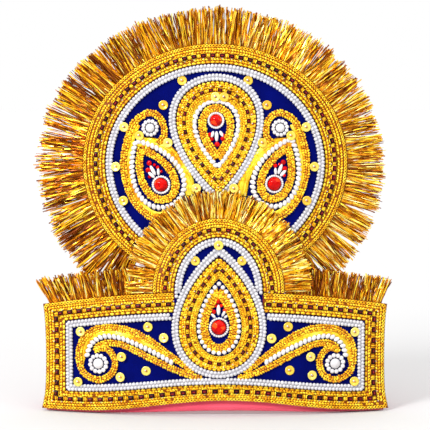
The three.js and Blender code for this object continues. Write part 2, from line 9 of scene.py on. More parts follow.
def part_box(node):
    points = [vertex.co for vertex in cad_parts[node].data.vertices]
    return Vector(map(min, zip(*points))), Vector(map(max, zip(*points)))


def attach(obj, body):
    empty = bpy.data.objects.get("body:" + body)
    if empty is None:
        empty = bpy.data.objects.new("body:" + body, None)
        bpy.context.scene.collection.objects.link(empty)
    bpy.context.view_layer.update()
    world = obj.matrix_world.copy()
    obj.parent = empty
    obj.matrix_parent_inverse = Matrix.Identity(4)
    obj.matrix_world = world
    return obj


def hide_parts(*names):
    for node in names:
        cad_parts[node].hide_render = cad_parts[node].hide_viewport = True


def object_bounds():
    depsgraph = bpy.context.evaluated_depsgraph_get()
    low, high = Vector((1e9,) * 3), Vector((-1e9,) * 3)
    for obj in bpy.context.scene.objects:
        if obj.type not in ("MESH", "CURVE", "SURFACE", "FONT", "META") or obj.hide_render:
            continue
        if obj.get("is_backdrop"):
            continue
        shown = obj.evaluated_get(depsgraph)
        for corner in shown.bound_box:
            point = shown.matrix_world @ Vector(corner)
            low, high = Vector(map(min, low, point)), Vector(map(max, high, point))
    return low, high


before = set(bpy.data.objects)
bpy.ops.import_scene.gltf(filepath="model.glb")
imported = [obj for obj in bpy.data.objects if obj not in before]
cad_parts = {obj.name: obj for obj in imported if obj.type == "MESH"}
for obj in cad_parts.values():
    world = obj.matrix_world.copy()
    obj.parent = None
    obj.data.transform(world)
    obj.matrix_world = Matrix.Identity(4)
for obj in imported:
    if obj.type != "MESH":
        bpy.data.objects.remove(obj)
cadLow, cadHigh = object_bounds()
random.seed(11)
print("crown: frame loaded")

# Everything is laid out as (x, v, depth) in millimetres: x and height as seen from the front,
# and depth outwards from the bowed face of the front board. onBow() turns that into metres.
bow = {"radius": 364.0}
bow["axis"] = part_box("front_board")[0].y * 1000 + bow["radius"]
discDepth = bow["axis"] - bow["radius"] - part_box("disc_board")[0].y * 1000
gap = 0.3  # left between neighbours
layer = {"lace": 0.3, "velvet": 1.0, "row": 2.3, "onRow": 4.8}  # how far out each layer starts
sharpTurn = 0.8  # a line that turns more than this, in radians, is cut there


def onBow(x, v, depth):
    r = bow["radius"] + depth
    return Vector((x, bow["axis"] - math.sqrt(r * r - x * x), v)) * 0.001


# Seats a small piece on the bow: its X runs along the row, its Y across it, its Z outwards
def seat(x, v, depth, turn=0.0, size=(1, 1, 1)):
    sine = x / (bow["radius"] + depth)
    right = Vector((math.sqrt(1 - sine * sine), sine, 0))
    out = Vector((sine, -right.x, 0))
    up = Vector((0, 0, 1))
    along = right * math.cos(turn) + up * math.sin(turn)
    side = up * math.cos(turn) - right * math.sin(turn)
    turned = Matrix((along * size[0], side * size[1], out * size[2])).transposed().to_4x4()
    return Matrix.Translation(onBow(x, v, depth)) @ turned


# Lines on the face, each an array of (x, v)

def ellipseLine(x, v, halfWidth, halfHeight, start=0, end=360, steps=240):
    angle = np.radians(np.linspace(start, end, steps + 1))
    return np.stack([x + halfWidth * np.cos(angle), v + halfHeight * np.sin(angle)], 1)


# A drop's size, bigger all round; its sharp tip moves further than its sides do
def grown(size, by, tipShare=1.6):
    return {"half": size["half"] + by, "tip": size["tip"] + tipShare * by, "round": size["round"] + by}


# Round a drop, from its point and back to it
def dropLine(shape, size, steps=240):
    t = np.linspace(0, 2 * math.pi, steps + 1)
    wave = np.sin(t) * np.abs(np.sin(t / 2)) ** shape["narrowing"]
    across = size["half"] * wave / wave.max()
    middle = (size["tip"] - size["round"]) / 2
    reach = (size["tip"] + size["round"]) / 2
    up = shape["point"] * (middle + reach * np.cos(t))
    lean = math.radians(shape["lean"])
    return np.stack([
        shape["x"] + across * math.cos(lean) + up * math.sin(lean),
        shape["v"] + up * math.cos(lean) - across * math.sin(lean),
    ], 1)


# A smooth line through a few points
def smoothLine(points, steps=14):
    p = np.array(points, float)
    p = np.vstack([2 * p[0] - p[1], p, 2 * p[-1] - p[-2]])
    line = []
    for a, b, c, d in zip(p, p[1:], p[2:], p[3:]):
        ab, bc, cd = (max(np.linalg.norm(k - j), 1e-6) ** 0.5 for j, k in ((a, b), (b, c), (c, d)))
        leave = ((b - a) / ab - (c - a) / (ab + bc) + (c - b) / bc) * bc
        arrive = ((c - b) / bc - (d - b) / (bc + cd) + (d - c) / cd) * bc
        for t in np.arange(steps) / steps:
            line.append(b + leave * t + (3 * (c - b) - 2 * leave - arrive) * t * t
                        + (2 * (b - c) + leave + arrive) * t ** 3)
    line.append(p[-2])
    return np.array(line)


def beside(line, by):
    ahead = np.gradient(line, axis=0)
    ahead /= np.linalg.norm(ahead, axis=1)[:, None]
    return line + np.stack([-ahead[:, 1], ahead[:, 0]], 1) * by


def between(inner, outer, share):
    return inner + (outer - inner) * share


# How far each point is along a line, measured on the bowed face
def lengthsAlong(line):
    step = np.diff(line, axis=0)
    middle = (line[1:, 0] + line[:-1, 0]) / 2
    slope = np.sqrt(1 - (middle / bow["radius"]) ** 2)
    return np.concatenate([[0], np.cumsum(np.hypot(step[:, 0] / slope, step[:, 1]))])


# Cuts a line into runs where it turns a sharp corner
def runsOf(line):
    step = np.diff(line, axis=0)
    angle = np.unwrap(np.arctan2(step[:, 1], step[:, 0]))
    corners = [i + 1 for i in range(len(angle) - 1) if abs(angle[i + 1] - angle[i]) > sharpTurn]
    cuts = [0, *corners, len(line) - 1]
    return [line[a:b + 1] for a, b in zip(cuts, cuts[1:]) if b - a > 0]


def pointAt(line, far, spot):
    return np.interp(spot, far, line[:, 0]), np.interp(spot, far, line[:, 1])


# Even places along a line, as (x, v, turn); phase 0 starts at the line's end, 0.5 half a pitch in
def walk(line, pitch, phase=0.5, feel=0.4):
    places = []
    for run in runsOf(line):
        far = lengthsAlong(run)
        count = max(1, round(far[-1] / pitch))
        spot = (np.arange(count) + phase) * far[-1] / count
        x, v = pointAt(run, far, spot)
        backX, backV = pointAt(run, far, np.clip(spot - feel, 0, far[-1]))
        nextX, nextV = pointAt(run, far, np.clip(spot + feel, 0, far[-1]))
        slope = np.sqrt(1 - (x / bow["radius"]) ** 2)
        places += list(zip(x, v, np.arctan2(nextV - backV, (nextX - backX) / slope)))
    return places


def evenly(line, count):
    far = lengthsAlong(line)
    return np.stack(pointAt(line, far, np.linspace(0, far[-1], count)), 1)


# Counts how often a level ray from the point crosses the closed line
def isInside(line, x, v):
    a, b = line, np.roll(line, -1, axis=0)
    crosses = (a[:, 1] > v) != (b[:, 1] > v)
    rise = np.where(b[:, 1] == a[:, 1], 1e-9, b[:, 1] - a[:, 1])
    return bool(np.sum(crosses & (x < (b[:, 0] - a[:, 0]) * (v - a[:, 1]) / rise + a[:, 0])) % 2)


# Making pieces

def clearSelection():
    if bpy.context.object and bpy.context.object.mode == "EDIT":
        bpy.ops.object.mode_set(mode="OBJECT")
    bpy.ops.object.select_all(action="DESELECT")


def pickOnly(piece):
    clearSelection()
    piece.select_set(True)
    bpy.context.view_layer.objects.active = piece


def started(name):
    piece = bpy.context.object
    piece.name = piece.data.name = name
    return piece


def placeApplied(piece):
    pickOnly(piece)
    bpy.ops.object.transform_apply(location=True, rotation=True, scale=True)
    return piece


def applyModifier(piece, kind, **settings):
    pickOnly(piece)
    modifier = piece.modifiers.new(kind.lower(), kind)
    for key, value in settings.items():
        setattr(modifier, key, value)
    bpy.ops.object.modifier_apply(modifier=modifier.name)
    return piece


def inEdit(piece, *steps):
    pickOnly(piece)
    bpy.ops.object.mode_set(mode="EDIT")
    bpy.ops.mesh.select_all(action="SELECT")
    for step in steps:
        step()
    bpy.ops.object.mode_set(mode="OBJECT")
    return piece


# Leaves the piece in edit mode with only the faces that pass the test selected
def pickFaces(piece, test):
    pickOnly(piece)
    bpy.ops.object.mode_set(mode="EDIT")
    bpy.ops.mesh.select_mode(type="FACE")
    bpy.ops.mesh.select_all(action="DESELECT")
    bpy.ops.object.mode_set(mode="OBJECT")
    for polygon in piece.data.polygons:
        polygon.select = test(polygon)
    bpy.ops.object.mode_set(mode="EDIT")


def tidyNormals(piece):
    return inEdit(piece, lambda: bpy.ops.mesh.remove_doubles(threshold=1e-6),
                  lambda: bpy.ops.mesh.normals_make_consistent(inside=False))


def smooth(piece, on=True):
    piece.data.polygons.foreach_set("use_smooth", [on] * len(piece.data.polygons))
    return piece


# Lays a grid where put(u, w) says; u runs along and w across, each from 0 to 1
def layGrid(name, along, across, put, size=(1, 1)):
    clearSelection()
    bpy.ops.mesh.primitive_grid_add(x_subdivisions=along, y_subdivisions=across, size=1)
    piece = started(name)
    for vertex in piece.data.vertices:
        vertex.co = put(vertex.co.x + 0.5, vertex.co.y + 0.5)
    for corner in piece.data.uv_layers[0].data:
        corner.uv = (corner.uv[0] * size[0], corner.uv[1] * size[1])
    return piece


# A closed strip between two lines; the profile is a ring of (share across, depth)
def layStrip(name, inner, outer, profile, closed=False):
    last = len(inner) - 1
    ring = len(profile)
    def put(u, w):
        i, (share, depth) = round(u * last), profile[round(w * ring) % ring]
        x, v = between(inner[i], outer[i], share)
        return onBow(x, v, depth)
    long = lengthsAlong(between(inner, outer, 0.5))[-1] * 0.001
    girth = sum(math.hypot((a[0] - b[0]) * np.linalg.norm(outer[0] - inner[0]), a[1] - b[1])
                for a, b in zip(profile, profile[1:] + profile[:1])) * 0.001
    piece = layGrid(name, last, ring, put, (long, girth))
    tidyNormals(piece)
    if not closed:
        inEdit(piece, lambda: bpy.ops.mesh.fill_holes(sides=0))
    return tidyNormals(piece)


# A flat band's section, its upper corners eased
def boxProfile(low, high, edge=0.04, rise=0.35):
    return [(0, low), (1, low), (1, high - rise), (1 - edge, high), (0.66, high), (0.33, high), (edge, high),
            (0, high - rise)]


# One mesh of many seated copies of a small modelled piece; each copy has its own tint from 0 to 1
def copiesOf(base, seats, name, tints=None):
    mesh = base.data
    count = len(mesh.vertices)
    points = np.ones((count, 4))
    points[:, :3] = [vertex.co for vertex in mesh.vertices]
    moves = np.array([[list(row) for row in move] for move in seats])
    placed = np.einsum("mij,nj->mni", moves, points)[..., :3].reshape(-1, 3)
    faces = [list(polygon.vertices) for polygon in mesh.polygons]
    made = bpy.data.meshes.new(name)
    made.from_pydata(placed.tolist(), [],
                     [[i + k * count for i in face] for k in range(len(seats)) for face in faces])
    made.polygons.foreach_set("use_smooth", [p.use_smooth for p in mesh.polygons] * len(seats))
    if tints is None:
        tints = [random.random() for move in seats]
    tint = made.attributes.new("tint", "FLOAT", "POINT")
    tint.data.foreach_set("value", np.repeat(np.array(tints, float), count))
    if mesh.uv_layers:
        corners = np.zeros(len(mesh.loops) * 2)
        mesh.uv_layers[0].uv.foreach_get("vector", corners)
        made.uv_layers.new(name="UVMap").uv.foreach_set("vector", np.tile(corners, len(seats)))
    for material in mesh.materials:
        made.materials.append(material)
    made.polygons.foreach_set("material_index", [p.material_index for p in mesh.polygons] * len(seats))
    made.update()
    piece = bpy.data.objects.new(name, made)
    bpy.context.collection.objects.link(piece)
    return piece


def joined(name, parts):
    clearSelection()
    for part in parts:
        part.select_set(True)
    bpy.context.view_layer.objects.active = parts[0]
    if len(parts) > 1:
        bpy.ops.object.join()
    return started(name)


def coat(piece, material):
    piece.data.materials.clear()
    piece.data.materials.append(material)
    return piece


# A strip laid under copies has their attribute too, all 0, so that joining them keeps it
def withTint(strip):
    strip.data.attributes.new("tint", "FLOAT", "POINT")
    return strip


# A piece is named for the node that it replaces
def pieceName(node):
    first, *others = node.split("_")
    return first + "".join(word.capitalize() for word in others)


def finishPiece(piece, slot, *nodes):
    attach(piece, "root")
    if nodes:
        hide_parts(*nodes)
    return piece


def putAway(*bases):
    for base in bases:
        bpy.data.objects.remove(base)


# Shader groups

def addNode(tree, kind, sockets=None, **settings):
    made = tree.nodes.new(kind)
    for key, value in settings.items():
        setattr(made, key, value)
    for key, value in (sockets or {}).items():
        if isinstance(value, bpy.types.NodeSocket):
            tree.links.new(value, made.inputs[key])
        else:
            made.inputs[key].default_value = value
    return made


def maths(tree, operation, a, b=0.0, c=0.0):
    return addNode(tree, "ShaderNodeMath", {0: a, 1: b, 2: c}, operation=operation).outputs[0]


def mix(tree, share, a, b):
    return addNode(tree, "ShaderNodeMix", {0: share, 2: a, 3: b}).outputs[0]


def noise(tree, place, scale, detail, distortion=0.0):
    return addNode(tree, "ShaderNodeTexNoise", {"Vector": place, "Scale": scale, "Detail": detail,
                                                "Distortion": distortion}).outputs[0]


def stretched(tree, place, by):
    return addNode(tree, "ShaderNodeVectorMath", {0: place, 1: by}, operation="MULTIPLY").outputs[0]


def colours(tree, factor, stops):
    made = addNode(tree, "ShaderNodeValToRGB", {"Fac": factor})
    band = made.color_ramp.elements
    while len(band) < len(stops):
        band.new(0.5)
    for element, (at, colour) in zip(band, stops):
        element.position = at
        element.color = (*colour, 1)
    return made.outputs["Color"]


def newGroup(name, inputs, outputs):
    tree = bpy.data.node_groups.new(name, "ShaderNodeTree")
    for label, kind, value in inputs:
        socket = tree.interface.new_socket(label, in_out="INPUT", socket_type="NodeSocket" + kind)
        if value is not None:
            socket.default_value = value
    for label, kind in outputs:
        tree.interface.new_socket(label, in_out="OUTPUT", socket_type="NodeSocket" + kind)
    return tree, tree.nodes.new("NodeGroupInput").outputs, tree.nodes.new("NodeGroupOutput").inputs


def useGroup(tree, group, sockets):
    return addNode(tree, "ShaderNodeGroup", sockets, node_tree=group).outputs


# Plain weave: threads over and under each other
def makeWeave():
    tree, given, out = newGroup("plainWeave", [("Vector", "Vector", None), ("Threads", "Float", 900.0)],
                                [("Height", "Float")])
    scaled = addNode(tree, "ShaderNodeVectorMath", {0: given["Vector"], "Scale": given["Threads"]},
                     operation="SCALE").outputs[0]
    parts = addNode(tree, "ShaderNodeSeparateXYZ", {0: scaled}).outputs
    warp, weft = (maths(tree, "SINE", maths(tree, "MULTIPLY", parts[i], math.pi)) for i in (0, 1))
    over = maths(tree, "MULTIPLY", warp, weft)
    tree.links.new(maths(tree, "MULTIPLY_ADD", over, 0.5, 0.5), out["Height"])
    return tree


# Slanting strands of a twisted or wrapped thread, along U
def makeTwist():
    tree, given, out = newGroup("threadTwist", [("Vector", "Vector", None), ("Pitch", "Float", 0.001),
                                                ("Lean", "Float", 1.0)], [("Height", "Float")])
    parts = addNode(tree, "ShaderNodeSeparateXYZ", {0: given["Vector"]}).outputs
    leaning = maths(tree, "MULTIPLY", parts[1], given["Lean"])
    along = maths(tree, "DIVIDE", maths(tree, "ADD", parts[0], leaning), given["Pitch"])
    wave = maths(tree, "SINE", maths(tree, "MULTIPLY", along, 2 * math.pi))
    tree.links.new(maths(tree, "MULTIPLY", maths(tree, "ADD", wave, 1.0), 0.5), out["Height"])
    return tree


# Uneven tone: fine flecks over a broad drift
def makeTone():
    tree, given, out = newGroup("unevenTone", [("Vector", "Vector", None), ("Fine", "Float", 900.0),
                                               ("Broad", "Float", 30.0), ("Flecks", "Float", 0.5)],
                                [("Tone", "Float"), ("Fleck", "Float")])
    fine = noise(tree, given["Vector"], given["Fine"], 3.0)
    broad = noise(tree, given["Vector"], given["Broad"], 2.0)
    tree.links.new(mix(tree, given["Flecks"], broad, fine), out["Tone"])
    tree.links.new(fine, out["Fleck"])
    return tree


weaveGroup, twistGroup, toneGroup = makeWeave(), makeTwist(), makeTone()


# A material whose Principled BSDF takes plain values by name; returns the tree and shader too
def newMaterial(name, values):
    material = bpy.data.materials.new(name)
    material.use_nodes = True
    tree = material.node_tree
    shader = tree.nodes["Principled BSDF"]
    for key, value in values.items():
        shader.inputs[key].default_value = value
    return material, tree, shader


def objectPlace(tree):
    return addNode(tree, "ShaderNodeTexCoord").outputs["Object"]


def uvPlace(tree):
    return addNode(tree, "ShaderNodeUVMap", uv_map="UVMap").outputs[0]


def ownTint(tree):
    return addNode(tree, "ShaderNodeAttribute", attribute_name="tint").outputs["Fac"]


def addBump(tree, shader, height, distance, strength=1.0):
    bump = addNode(tree, "ShaderNodeBump", {"Height": height, "Distance": distance, "Strength": strength})
    tree.links.new(bump.outputs[0], shader.inputs["Normal"])


def unevenTone(tree, fine, broad, flecks):
    return useGroup(tree, toneGroup, {"Vector": objectPlace(tree), "Fine": fine, "Broad": broad,
                                      "Flecks": flecks})


def paint(tree, shader, factor, stops):
    tree.links.new(colours(tree, factor, stops), shader.inputs["Base Color"])


def roughen(tree, shader, value, low, high):
    rough = addNode(tree, "ShaderNodeMapRange", {"Value": value, "To Min": low, "To Max": high})
    tree.links.new(rough.outputs[0], shader.inputs["Roughness"])


def clothMaterial(name, dark, light, threads, values):
    material, tree, shader = newMaterial(name, values)
    weave = useGroup(tree, weaveGroup, {"Vector": uvPlace(tree), "Threads": threads})["Height"]
    tone = unevenTone(tree, 1400.0, 22.0, 0.35)
    slub = maths(tree, "MULTIPLY", tone["Tone"], 0.75)
    paint(tree, shader, maths(tree, "MULTIPLY_ADD", weave, 0.25, slub), [(0.25, dark), (0.75, light)])
    addBump(tree, shader, maths(tree, "ADD", weave, tone["Fleck"]), 0.00012)
    return material


pinkCloth = clothMaterial("pinkCloth", (0.68, 0.052, 0.105), (0.92, 0.118, 0.18), 1600.0, {
    "Roughness": 0.72, "Sheen Weight": 0.2, "Sheen Roughness": 0.4, "Specular IOR Level": 0.3})


def velvetMaterial():
    material, tree, shader = newMaterial("navyVelvet", {
        "Roughness": 0.95, "Sheen Weight": 0.04, "Sheen Roughness": 0.35, "Sheen Tint": (0.1, 0.2, 1.0, 1),
        "Specular IOR Level": 0.05})
    tone = unevenTone(tree, 2200.0, 60.0, 0.55)
    paint(tree, shader, tone["Tone"], [(0.3, (0.0, 0.0006, 0.05)), (0.7, (0.0002, 0.0028, 0.13))])
    addBump(tree, shader, tone["Fleck"], 0.00018, 0.7)
    return material


# Gold thread: browner where the twisted strands turn away and yellower on top, a painted shade and highlight,
# and browner here and there where worn
def goldMaterial(name, stops, pitch, lean, values, bumpDepth=0.00003):
    material, tree, shader = newMaterial(name, values)
    twist = useGroup(tree, twistGroup, {"Vector": uvPlace(tree), "Pitch": pitch, "Lean": lean})["Height"]
    tone = unevenTone(tree, 700.0, 90.0, 0.6)
    paint(tree, shader, mix(tree, 0.3, mix(tree, 0.5, tone["Tone"], ownTint(tree)), twist), stops)
    roughen(tree, shader, tone["Fleck"], 0.22, 0.42)
    addBump(tree, shader, maths(tree, "ADD", twist, maths(tree, "MULTIPLY", tone["Fleck"], 0.6)), bumpDepth)
    return material


# The darkest gold stop stands for painted shade and the palest for a painted highlight
rustShade, amber, gold, yellow, paleGlint = ((0.36, 0.08, 0.0), (0.75, 0.25, 0.001), (1.0, 0.5, 0.003),
                                   (1.0, 0.7, 0.012), (1.0, 0.85, 0.09))
goldLace = goldMaterial("goldLace", [(0.14, rustShade), (0.28, amber), (0.4, gold), (0.56, yellow), (0.76, paleGlint)],
                        0.0009, 1.0, {"Metallic": 0.6})
brown, umber = (0.15, 0.027, 0.0), (0.42, 0.11, 0.001)
laceGround = goldMaterial("laceGround", [(0.25, brown), (0.55, umber), (0.85, amber)],
                          0.0012, 1.6, {"Specular IOR Level": 0.2}, 0.00012)
goldCord = goldMaterial("goldCord", [(0.28, rustShade), (0.38, amber), (0.46, gold), (0.6, yellow), (0.83, paleGlint)],
                        0.0007, 0.8, {"Metallic": 0.6})


# Tinsel: each strand has a tint of its own and painted glints, streaks of paler and browner colour along it
def fringeMaterial():
    material, tree, shader = newMaterial("fringeGold", {"Metallic": 0.75, "Roughness": 0.25})
    tint = ownTint(tree)
    moved = addNode(tree, "ShaderNodeCombineXYZ", {1: maths(tree, "MULTIPLY", tint, 90.0), 2: tint}).outputs[0]
    long = stretched(tree, uvPlace(tree), (3.6, 0.5, 1.0))
    place = addNode(tree, "ShaderNodeVectorMath", {0: long, 1: moved}, operation="ADD").outputs[0]
    glintStreak = noise(tree, place, 1.0, 2.0)
    paint(tree, shader, mix(tree, 0.5, glintStreak, tint), [
        (0.28, (0.17, 0.032, 0.0)), (0.42, (0.52, 0.15, 0.001)), (0.53, (0.98, 0.46, 0.004)),
        (0.65, (1.0, 0.73, 0.04)), (0.79, (1.0, 0.93, 0.4))])
    addBump(tree, shader, glintStreak, 0.0001)
    return material


# Crinkled satin foil under the rows, its colour darker in the creases and paler on the ridges, a painted shade
# and highlight
def foilMaterial():
    material, tree, shader = newMaterial("goldFoil", {
        "Metallic": 0.85, "Coat Weight": 0.3, "Coat Roughness": 0.1})
    crease = noise(tree, stretched(tree, uvPlace(tree), (90.0, 900.0, 1.0)), 1.0, 3.0, 0.8)
    paint(tree, shader, mix(tree, 0.6, crease, unevenTone(tree, 500.0, 70.0, 0.3)["Tone"]), [
        (0.3, rustShade), (0.4, amber), (0.47, gold), (0.53, (1.0, 0.8, 0.03)), (0.68, (1.0, 0.95, 0.2))])
    roughen(tree, shader, crease, 0.15, 0.45)
    addBump(tree, shader, crease, 0.0005)
    return material


def sequinMaterial():
    material, tree, shader = newMaterial("goldSequin", {
        "Metallic": 0.6, "Coat Weight": 0.4, "Coat Roughness": 0.08})
    tone = unevenTone(tree, 600.0, 150.0, 0.4)
    paint(tree, shader, mix(tree, 0.4, tone["Tone"], ownTint(tree)), [
        (0.2, (0.86, 0.46, 0.02)), (0.45, (0.9, 0.66, 0.07)), (0.8, (0.92, 0.78, 0.2))])
    roughen(tree, shader, tone["Fleck"], 0.18, 0.4)
    addBump(tree, shader, tone["Fleck"], 0.0001)
    return material


# Beads of one kind: a coated body with slight swirls, and each bead its own tint
def beadMaterial(name, dark, light, values, swirl=400.0):
    material, tree, shader = newMaterial(name, values)
    tone = unevenTone(tree, swirl, 60.0, 0.6)
    paint(tree, shader, mix(tree, 0.5, tone["Tone"], ownTint(tree)), [(0.2, dark), (0.8, light)])
    roughen(tree, shader, tone["Fleck"], values["Roughness"] * 0.7, values["Roughness"] * 1.4)
    addBump(tree, shader, tone["Fleck"], 0.00003)
    return material


# Cut red glass: each cell painted a red of its own, the lighter red and orange cells a painted reflection of
# the light
def redMaterial():
    material, tree, shader = newMaterial("redGlass", {"Roughness": 0.06, "Specular IOR Level": 0.14})
    cell = addNode(tree, "ShaderNodeTexVoronoi", {"Vector": objectPlace(tree), "Scale": 330.0,
                                                  "Randomness": 0.9})
    tone = addNode(tree, "ShaderNodeSeparateColor", {0: cell.outputs["Color"]}).outputs[0]
    paint(tree, shader, tone, [(0.1, (0.36, 0.0, 0.0)), (0.5, (0.54, 0.0, 0.0)), (0.8, (0.75, 0.003, 0.001)),
                               (0.97, (0.95, 0.1, 0.01))])
    addBump(tree, shader, cell.outputs["Distance"], 0.00003)
    return material


navyVelvet, fringeGold = velvetMaterial(), fringeMaterial()
goldFoil, goldSequin, redGlass = foilMaterial(), sequinMaterial(), redMaterial()
pearlWhite = beadMaterial("pearlWhite", (0.43, 0.42, 0.445), (0.6, 0.59, 0.61), {
    "Roughness": 0.3, "Coat Weight": 0.5, "Coat Roughness": 0.12})
riceWhite = beadMaterial("riceWhite", (0.55, 0.53, 0.54), (0.72, 0.7, 0.7), {
    "Roughness": 0.3, "Coat Weight": 0.4, "Coat Roughness": 0.12})
# Grey for the pearls' tape, a painted shade between the pearls
tapeGrey = beadMaterial("tapeGrey", (0.36, 0.35, 0.39), (0.5, 0.49, 0.53), {"Roughness": 0.6})
seedBrown = beadMaterial("seedBrown", (0.2, 0.05, 0.004), (0.5, 0.2, 0.02), {
    "Roughness": 0.3, "Coat Weight": 0.3})
# Near-black for small lobes set where the lace's gaps fall in shade, a painted shade
darkThread = beadMaterial("darkThread", (0.012, 0.001, 0.0), (0.05, 0.005, 0.001), {
    "Roughness": 0.6, "Specular IOR Level": 0.1})
maroonGlass = beadMaterial("maroonGlass", (0.006, 0.0, 0.001), (0.05, 0.0, 0.002), {
    "Roughness": 0.3, "Specular IOR Level": 0.12}, 300.0)
# A paler rose for the stones' tables, a painted glint
roseGlass = beadMaterial("roseGlass", (0.1, 0.0, 0.001), (0.4, 0.012, 0.018), {
    "Roughness": 0.2, "Specular IOR Level": 0.3}, 300.0)
print("crown: finishes mixed")

# Small pieces, each modelled once and copied along the rows

def ballPiece(name, radius, squash=(1, 1, 1), detail=2):
    clearSelection()
    bpy.ops.mesh.primitive_ico_sphere_add(subdivisions=detail, radius=radius * 0.001)
    return smooth(inEdit(started(name), lambda: bpy.ops.transform.resize(value=squash)))


# Cuts a piece flat where it is sewn or set down
def cutBelow(piece, level):
    return inEdit(piece, lambda: bpy.ops.mesh.bisect(plane_co=(0, 0, level), plane_no=(0, 0, -1),
                                                     clear_outer=True, use_fill=True))


# A plump lobe of cord, thinner at its ends, flat below
def lobePiece(name, length, width, height):
    clearSelection()
    bpy.ops.mesh.primitive_uv_sphere_add(segments=6, ring_count=4, radius=0.0005, rotation=(0, math.pi / 2, 0))
    piece = placeApplied(started(name))
    inEdit(piece, lambda: bpy.ops.transform.resize(value=(length, width, height)))
    return smooth(cutBelow(piece, -0.00028 * height))


# An open link of chain-stitched thread
def linkPiece(name, length, width, thread, around=10):
    clearSelection()
    bpy.ops.mesh.primitive_torus_add(major_segments=around, minor_segments=3,
                                     major_radius=0.0005 * (width - thread), minor_radius=0.0005 * thread)
    stretch = (length - thread) / (width - thread)
    return smooth(inEdit(started(name), lambda: bpy.ops.transform.resize(value=(stretch, 1, 1))))


# A rectangular stone with a table, a sloping crown and a closed back; the table is coated in a paler rose, a
# painted glint
def stonePiece(name, length, width, height):
    clearSelection()
    bpy.ops.mesh.primitive_cube_add(size=0.001)
    piece = started(name)
    inEdit(piece, lambda: bpy.ops.transform.resize(value=(length, width, height)))
    pickFaces(piece, lambda polygon: polygon.normal.z > 0.9)
    bpy.ops.mesh.inset(thickness=0.0001 * width)
    bpy.ops.transform.translate(value=(0, 0, 0.00022 * height))
    bpy.ops.mesh.inset(thickness=0.0003 * width)
    bpy.ops.transform.translate(value=(0, 0, 0.0002 * height))
    bpy.ops.object.mode_set(mode="OBJECT")
    coat(piece, maroonGlass).data.materials.append(roseGlass)
    for polygon in piece.data.polygons:
        polygon.material_index = 1 if polygon.select else 0
    return piece


beads = {"pearl": 1.47, "frontInner": 1.75, "rosetteRing": 1.6, "rosetteMiddle": 3.5, "sparkle": 0.5}
pearl = coat(cutBelow(ballPiece("pearl", beads["pearl"], (1, 1, 0.92)), -0.0004 * beads["pearl"]), pearlWhite)
print("crown: small pieces modelled")

# Layout: the lace's outer edges, and the drops

band = {"halfWidth": 130, "overhang": 1.9, "sideBow": 2.1, "flare": 1.7, "foot": 1.8, "footRise": 10.1,
        "riseHalfWidth": 114, "riseShift": 7, "shiftFade": 30, "fade": 72, "shoulder": 85.2, "topRise": 9.8,
        "topSpan": 117}
archLow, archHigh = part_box("arch_lace")
arch = {"x": 500 * (archLow.x + archHigh.x), "v": 94.6, "halfWidth": 50.2, "rise": 56, "innerHalfWidth": 33.6,
        "innerRise": 41.7}
discLow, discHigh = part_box("disc_lace")
disc = {"v": 500 * (discLow.z + discHigh.z), "halfWidth": 101, "halfHeight": 91, "innerHalfWidth": 83.4,
        "innerHalfHeight": 76.2}
lace = {"side": 15.6, "top": 15.0, "foot": 14.6}  # its widths
pearlWidth = 5.6

frontDrop = {"x": 2.9, "v": 1000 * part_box("front_drop_pearls")[0].z + 32.6, "point": 1, "lean": 0,
             "narrowing": 0.7,
             "pearls": {"half": 33.2, "tip": 62.8, "round": 31.4},
             "laceOuter": {"half": 30.2, "tip": 57.7, "round": 28.4},
             "laceInner": {"half": 17.4, "tip": 42, "round": 17.4},
             "inner": {"half": 15.2, "tip": 38, "round": 14.8},
             "cord": {"half": 11.2, "tip": 32, "round": 11.2}}
discDrop = {"x": 0.9, "v": 1000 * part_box("disc_drop_pearls")[1].z - 37.2, "point": -1, "lean": -1.7,
            "narrowing": 0.9,
            "pearls": {"half": 33.2, "tip": 59.5, "round": 32.4},
            "laceOuter": {"half": 29.9, "tip": 55.2, "round": 29.2},
            "laceInner": {"half": 18.8, "tip": 37.5, "round": 16.6},
            "inner": {"half": 16.4, "tip": 35.2, "round": 14.2},
            "cord": {"half": 10.6, "tip": 28, "round": 9.2}}


def footRise(x):
    return band["footRise"] / 2 * (1 + np.cos(math.pi * np.minimum(np.abs(x) / band["riseHalfWidth"], 1)))


# The rise in the foot's line fades, and comes to the middle, further in from the edge
def bandFoot(inset, x):
    shift = band["riseShift"] * (1 - inset / band["shiftFade"])
    return band["foot"] + inset + footRise(x - shift) * (1 - inset / band["fade"])


def bandTop(inset, x):
    return band["shoulder"] - inset + band["topRise"] * (1 - (x / band["topSpan"]) ** 2)


# How far the lace's side stands back from its corners, at a height: most halfway up, while its
# lower corners flare out
def sideBow(v, low=6, high=80, flareTop=20):
    share = np.clip((v - low) / (high - low), 0, 1)
    flare = band["flare"] * np.clip(1 - v / flareTop, 0, 1) ** 2
    return band["sideBow"] * np.sin(math.pi * share) ** 0.5 - flare


# Round the band, from one side of the arch to the other, at a share of the lace's width from its
# outer edge and then so much more inwards; the outer edge hangs over the board's sides
def bandLine(share, more, archGap, across=48, up=16):
    side = band["halfWidth"] + band["overhang"] * (1 - share) - share * lace["side"] - more
    top = lambda x: bandTop(share * lace["top"] + more, x)
    foot = lambda x: bandFoot(share * lace["foot"] + more, x)
    corner = side - sideBow(foot(side)) * (1 - share)
    edges = []
    for start, end, edge, steps in ((arch["x"] - archGap, -side, top, across),
                                    (-corner, corner, foot, 2 * across),
                                    (side, arch["x"] + archGap, top, across)):
        x = np.linspace(start, end, steps + 1)
        edges.append(np.stack([x, edge(x)], 1))
    heights = np.linspace(top(side), foot(side), up + 1)[1:-1]
    bowed = 1 - sideBow(heights) * (1 - share) / side
    left, right = (np.stack([x * bowed, heights], 1) for x in (-side, side))
    return np.concatenate([edges[0], left, edges[1], right[::-1], edges[2]])


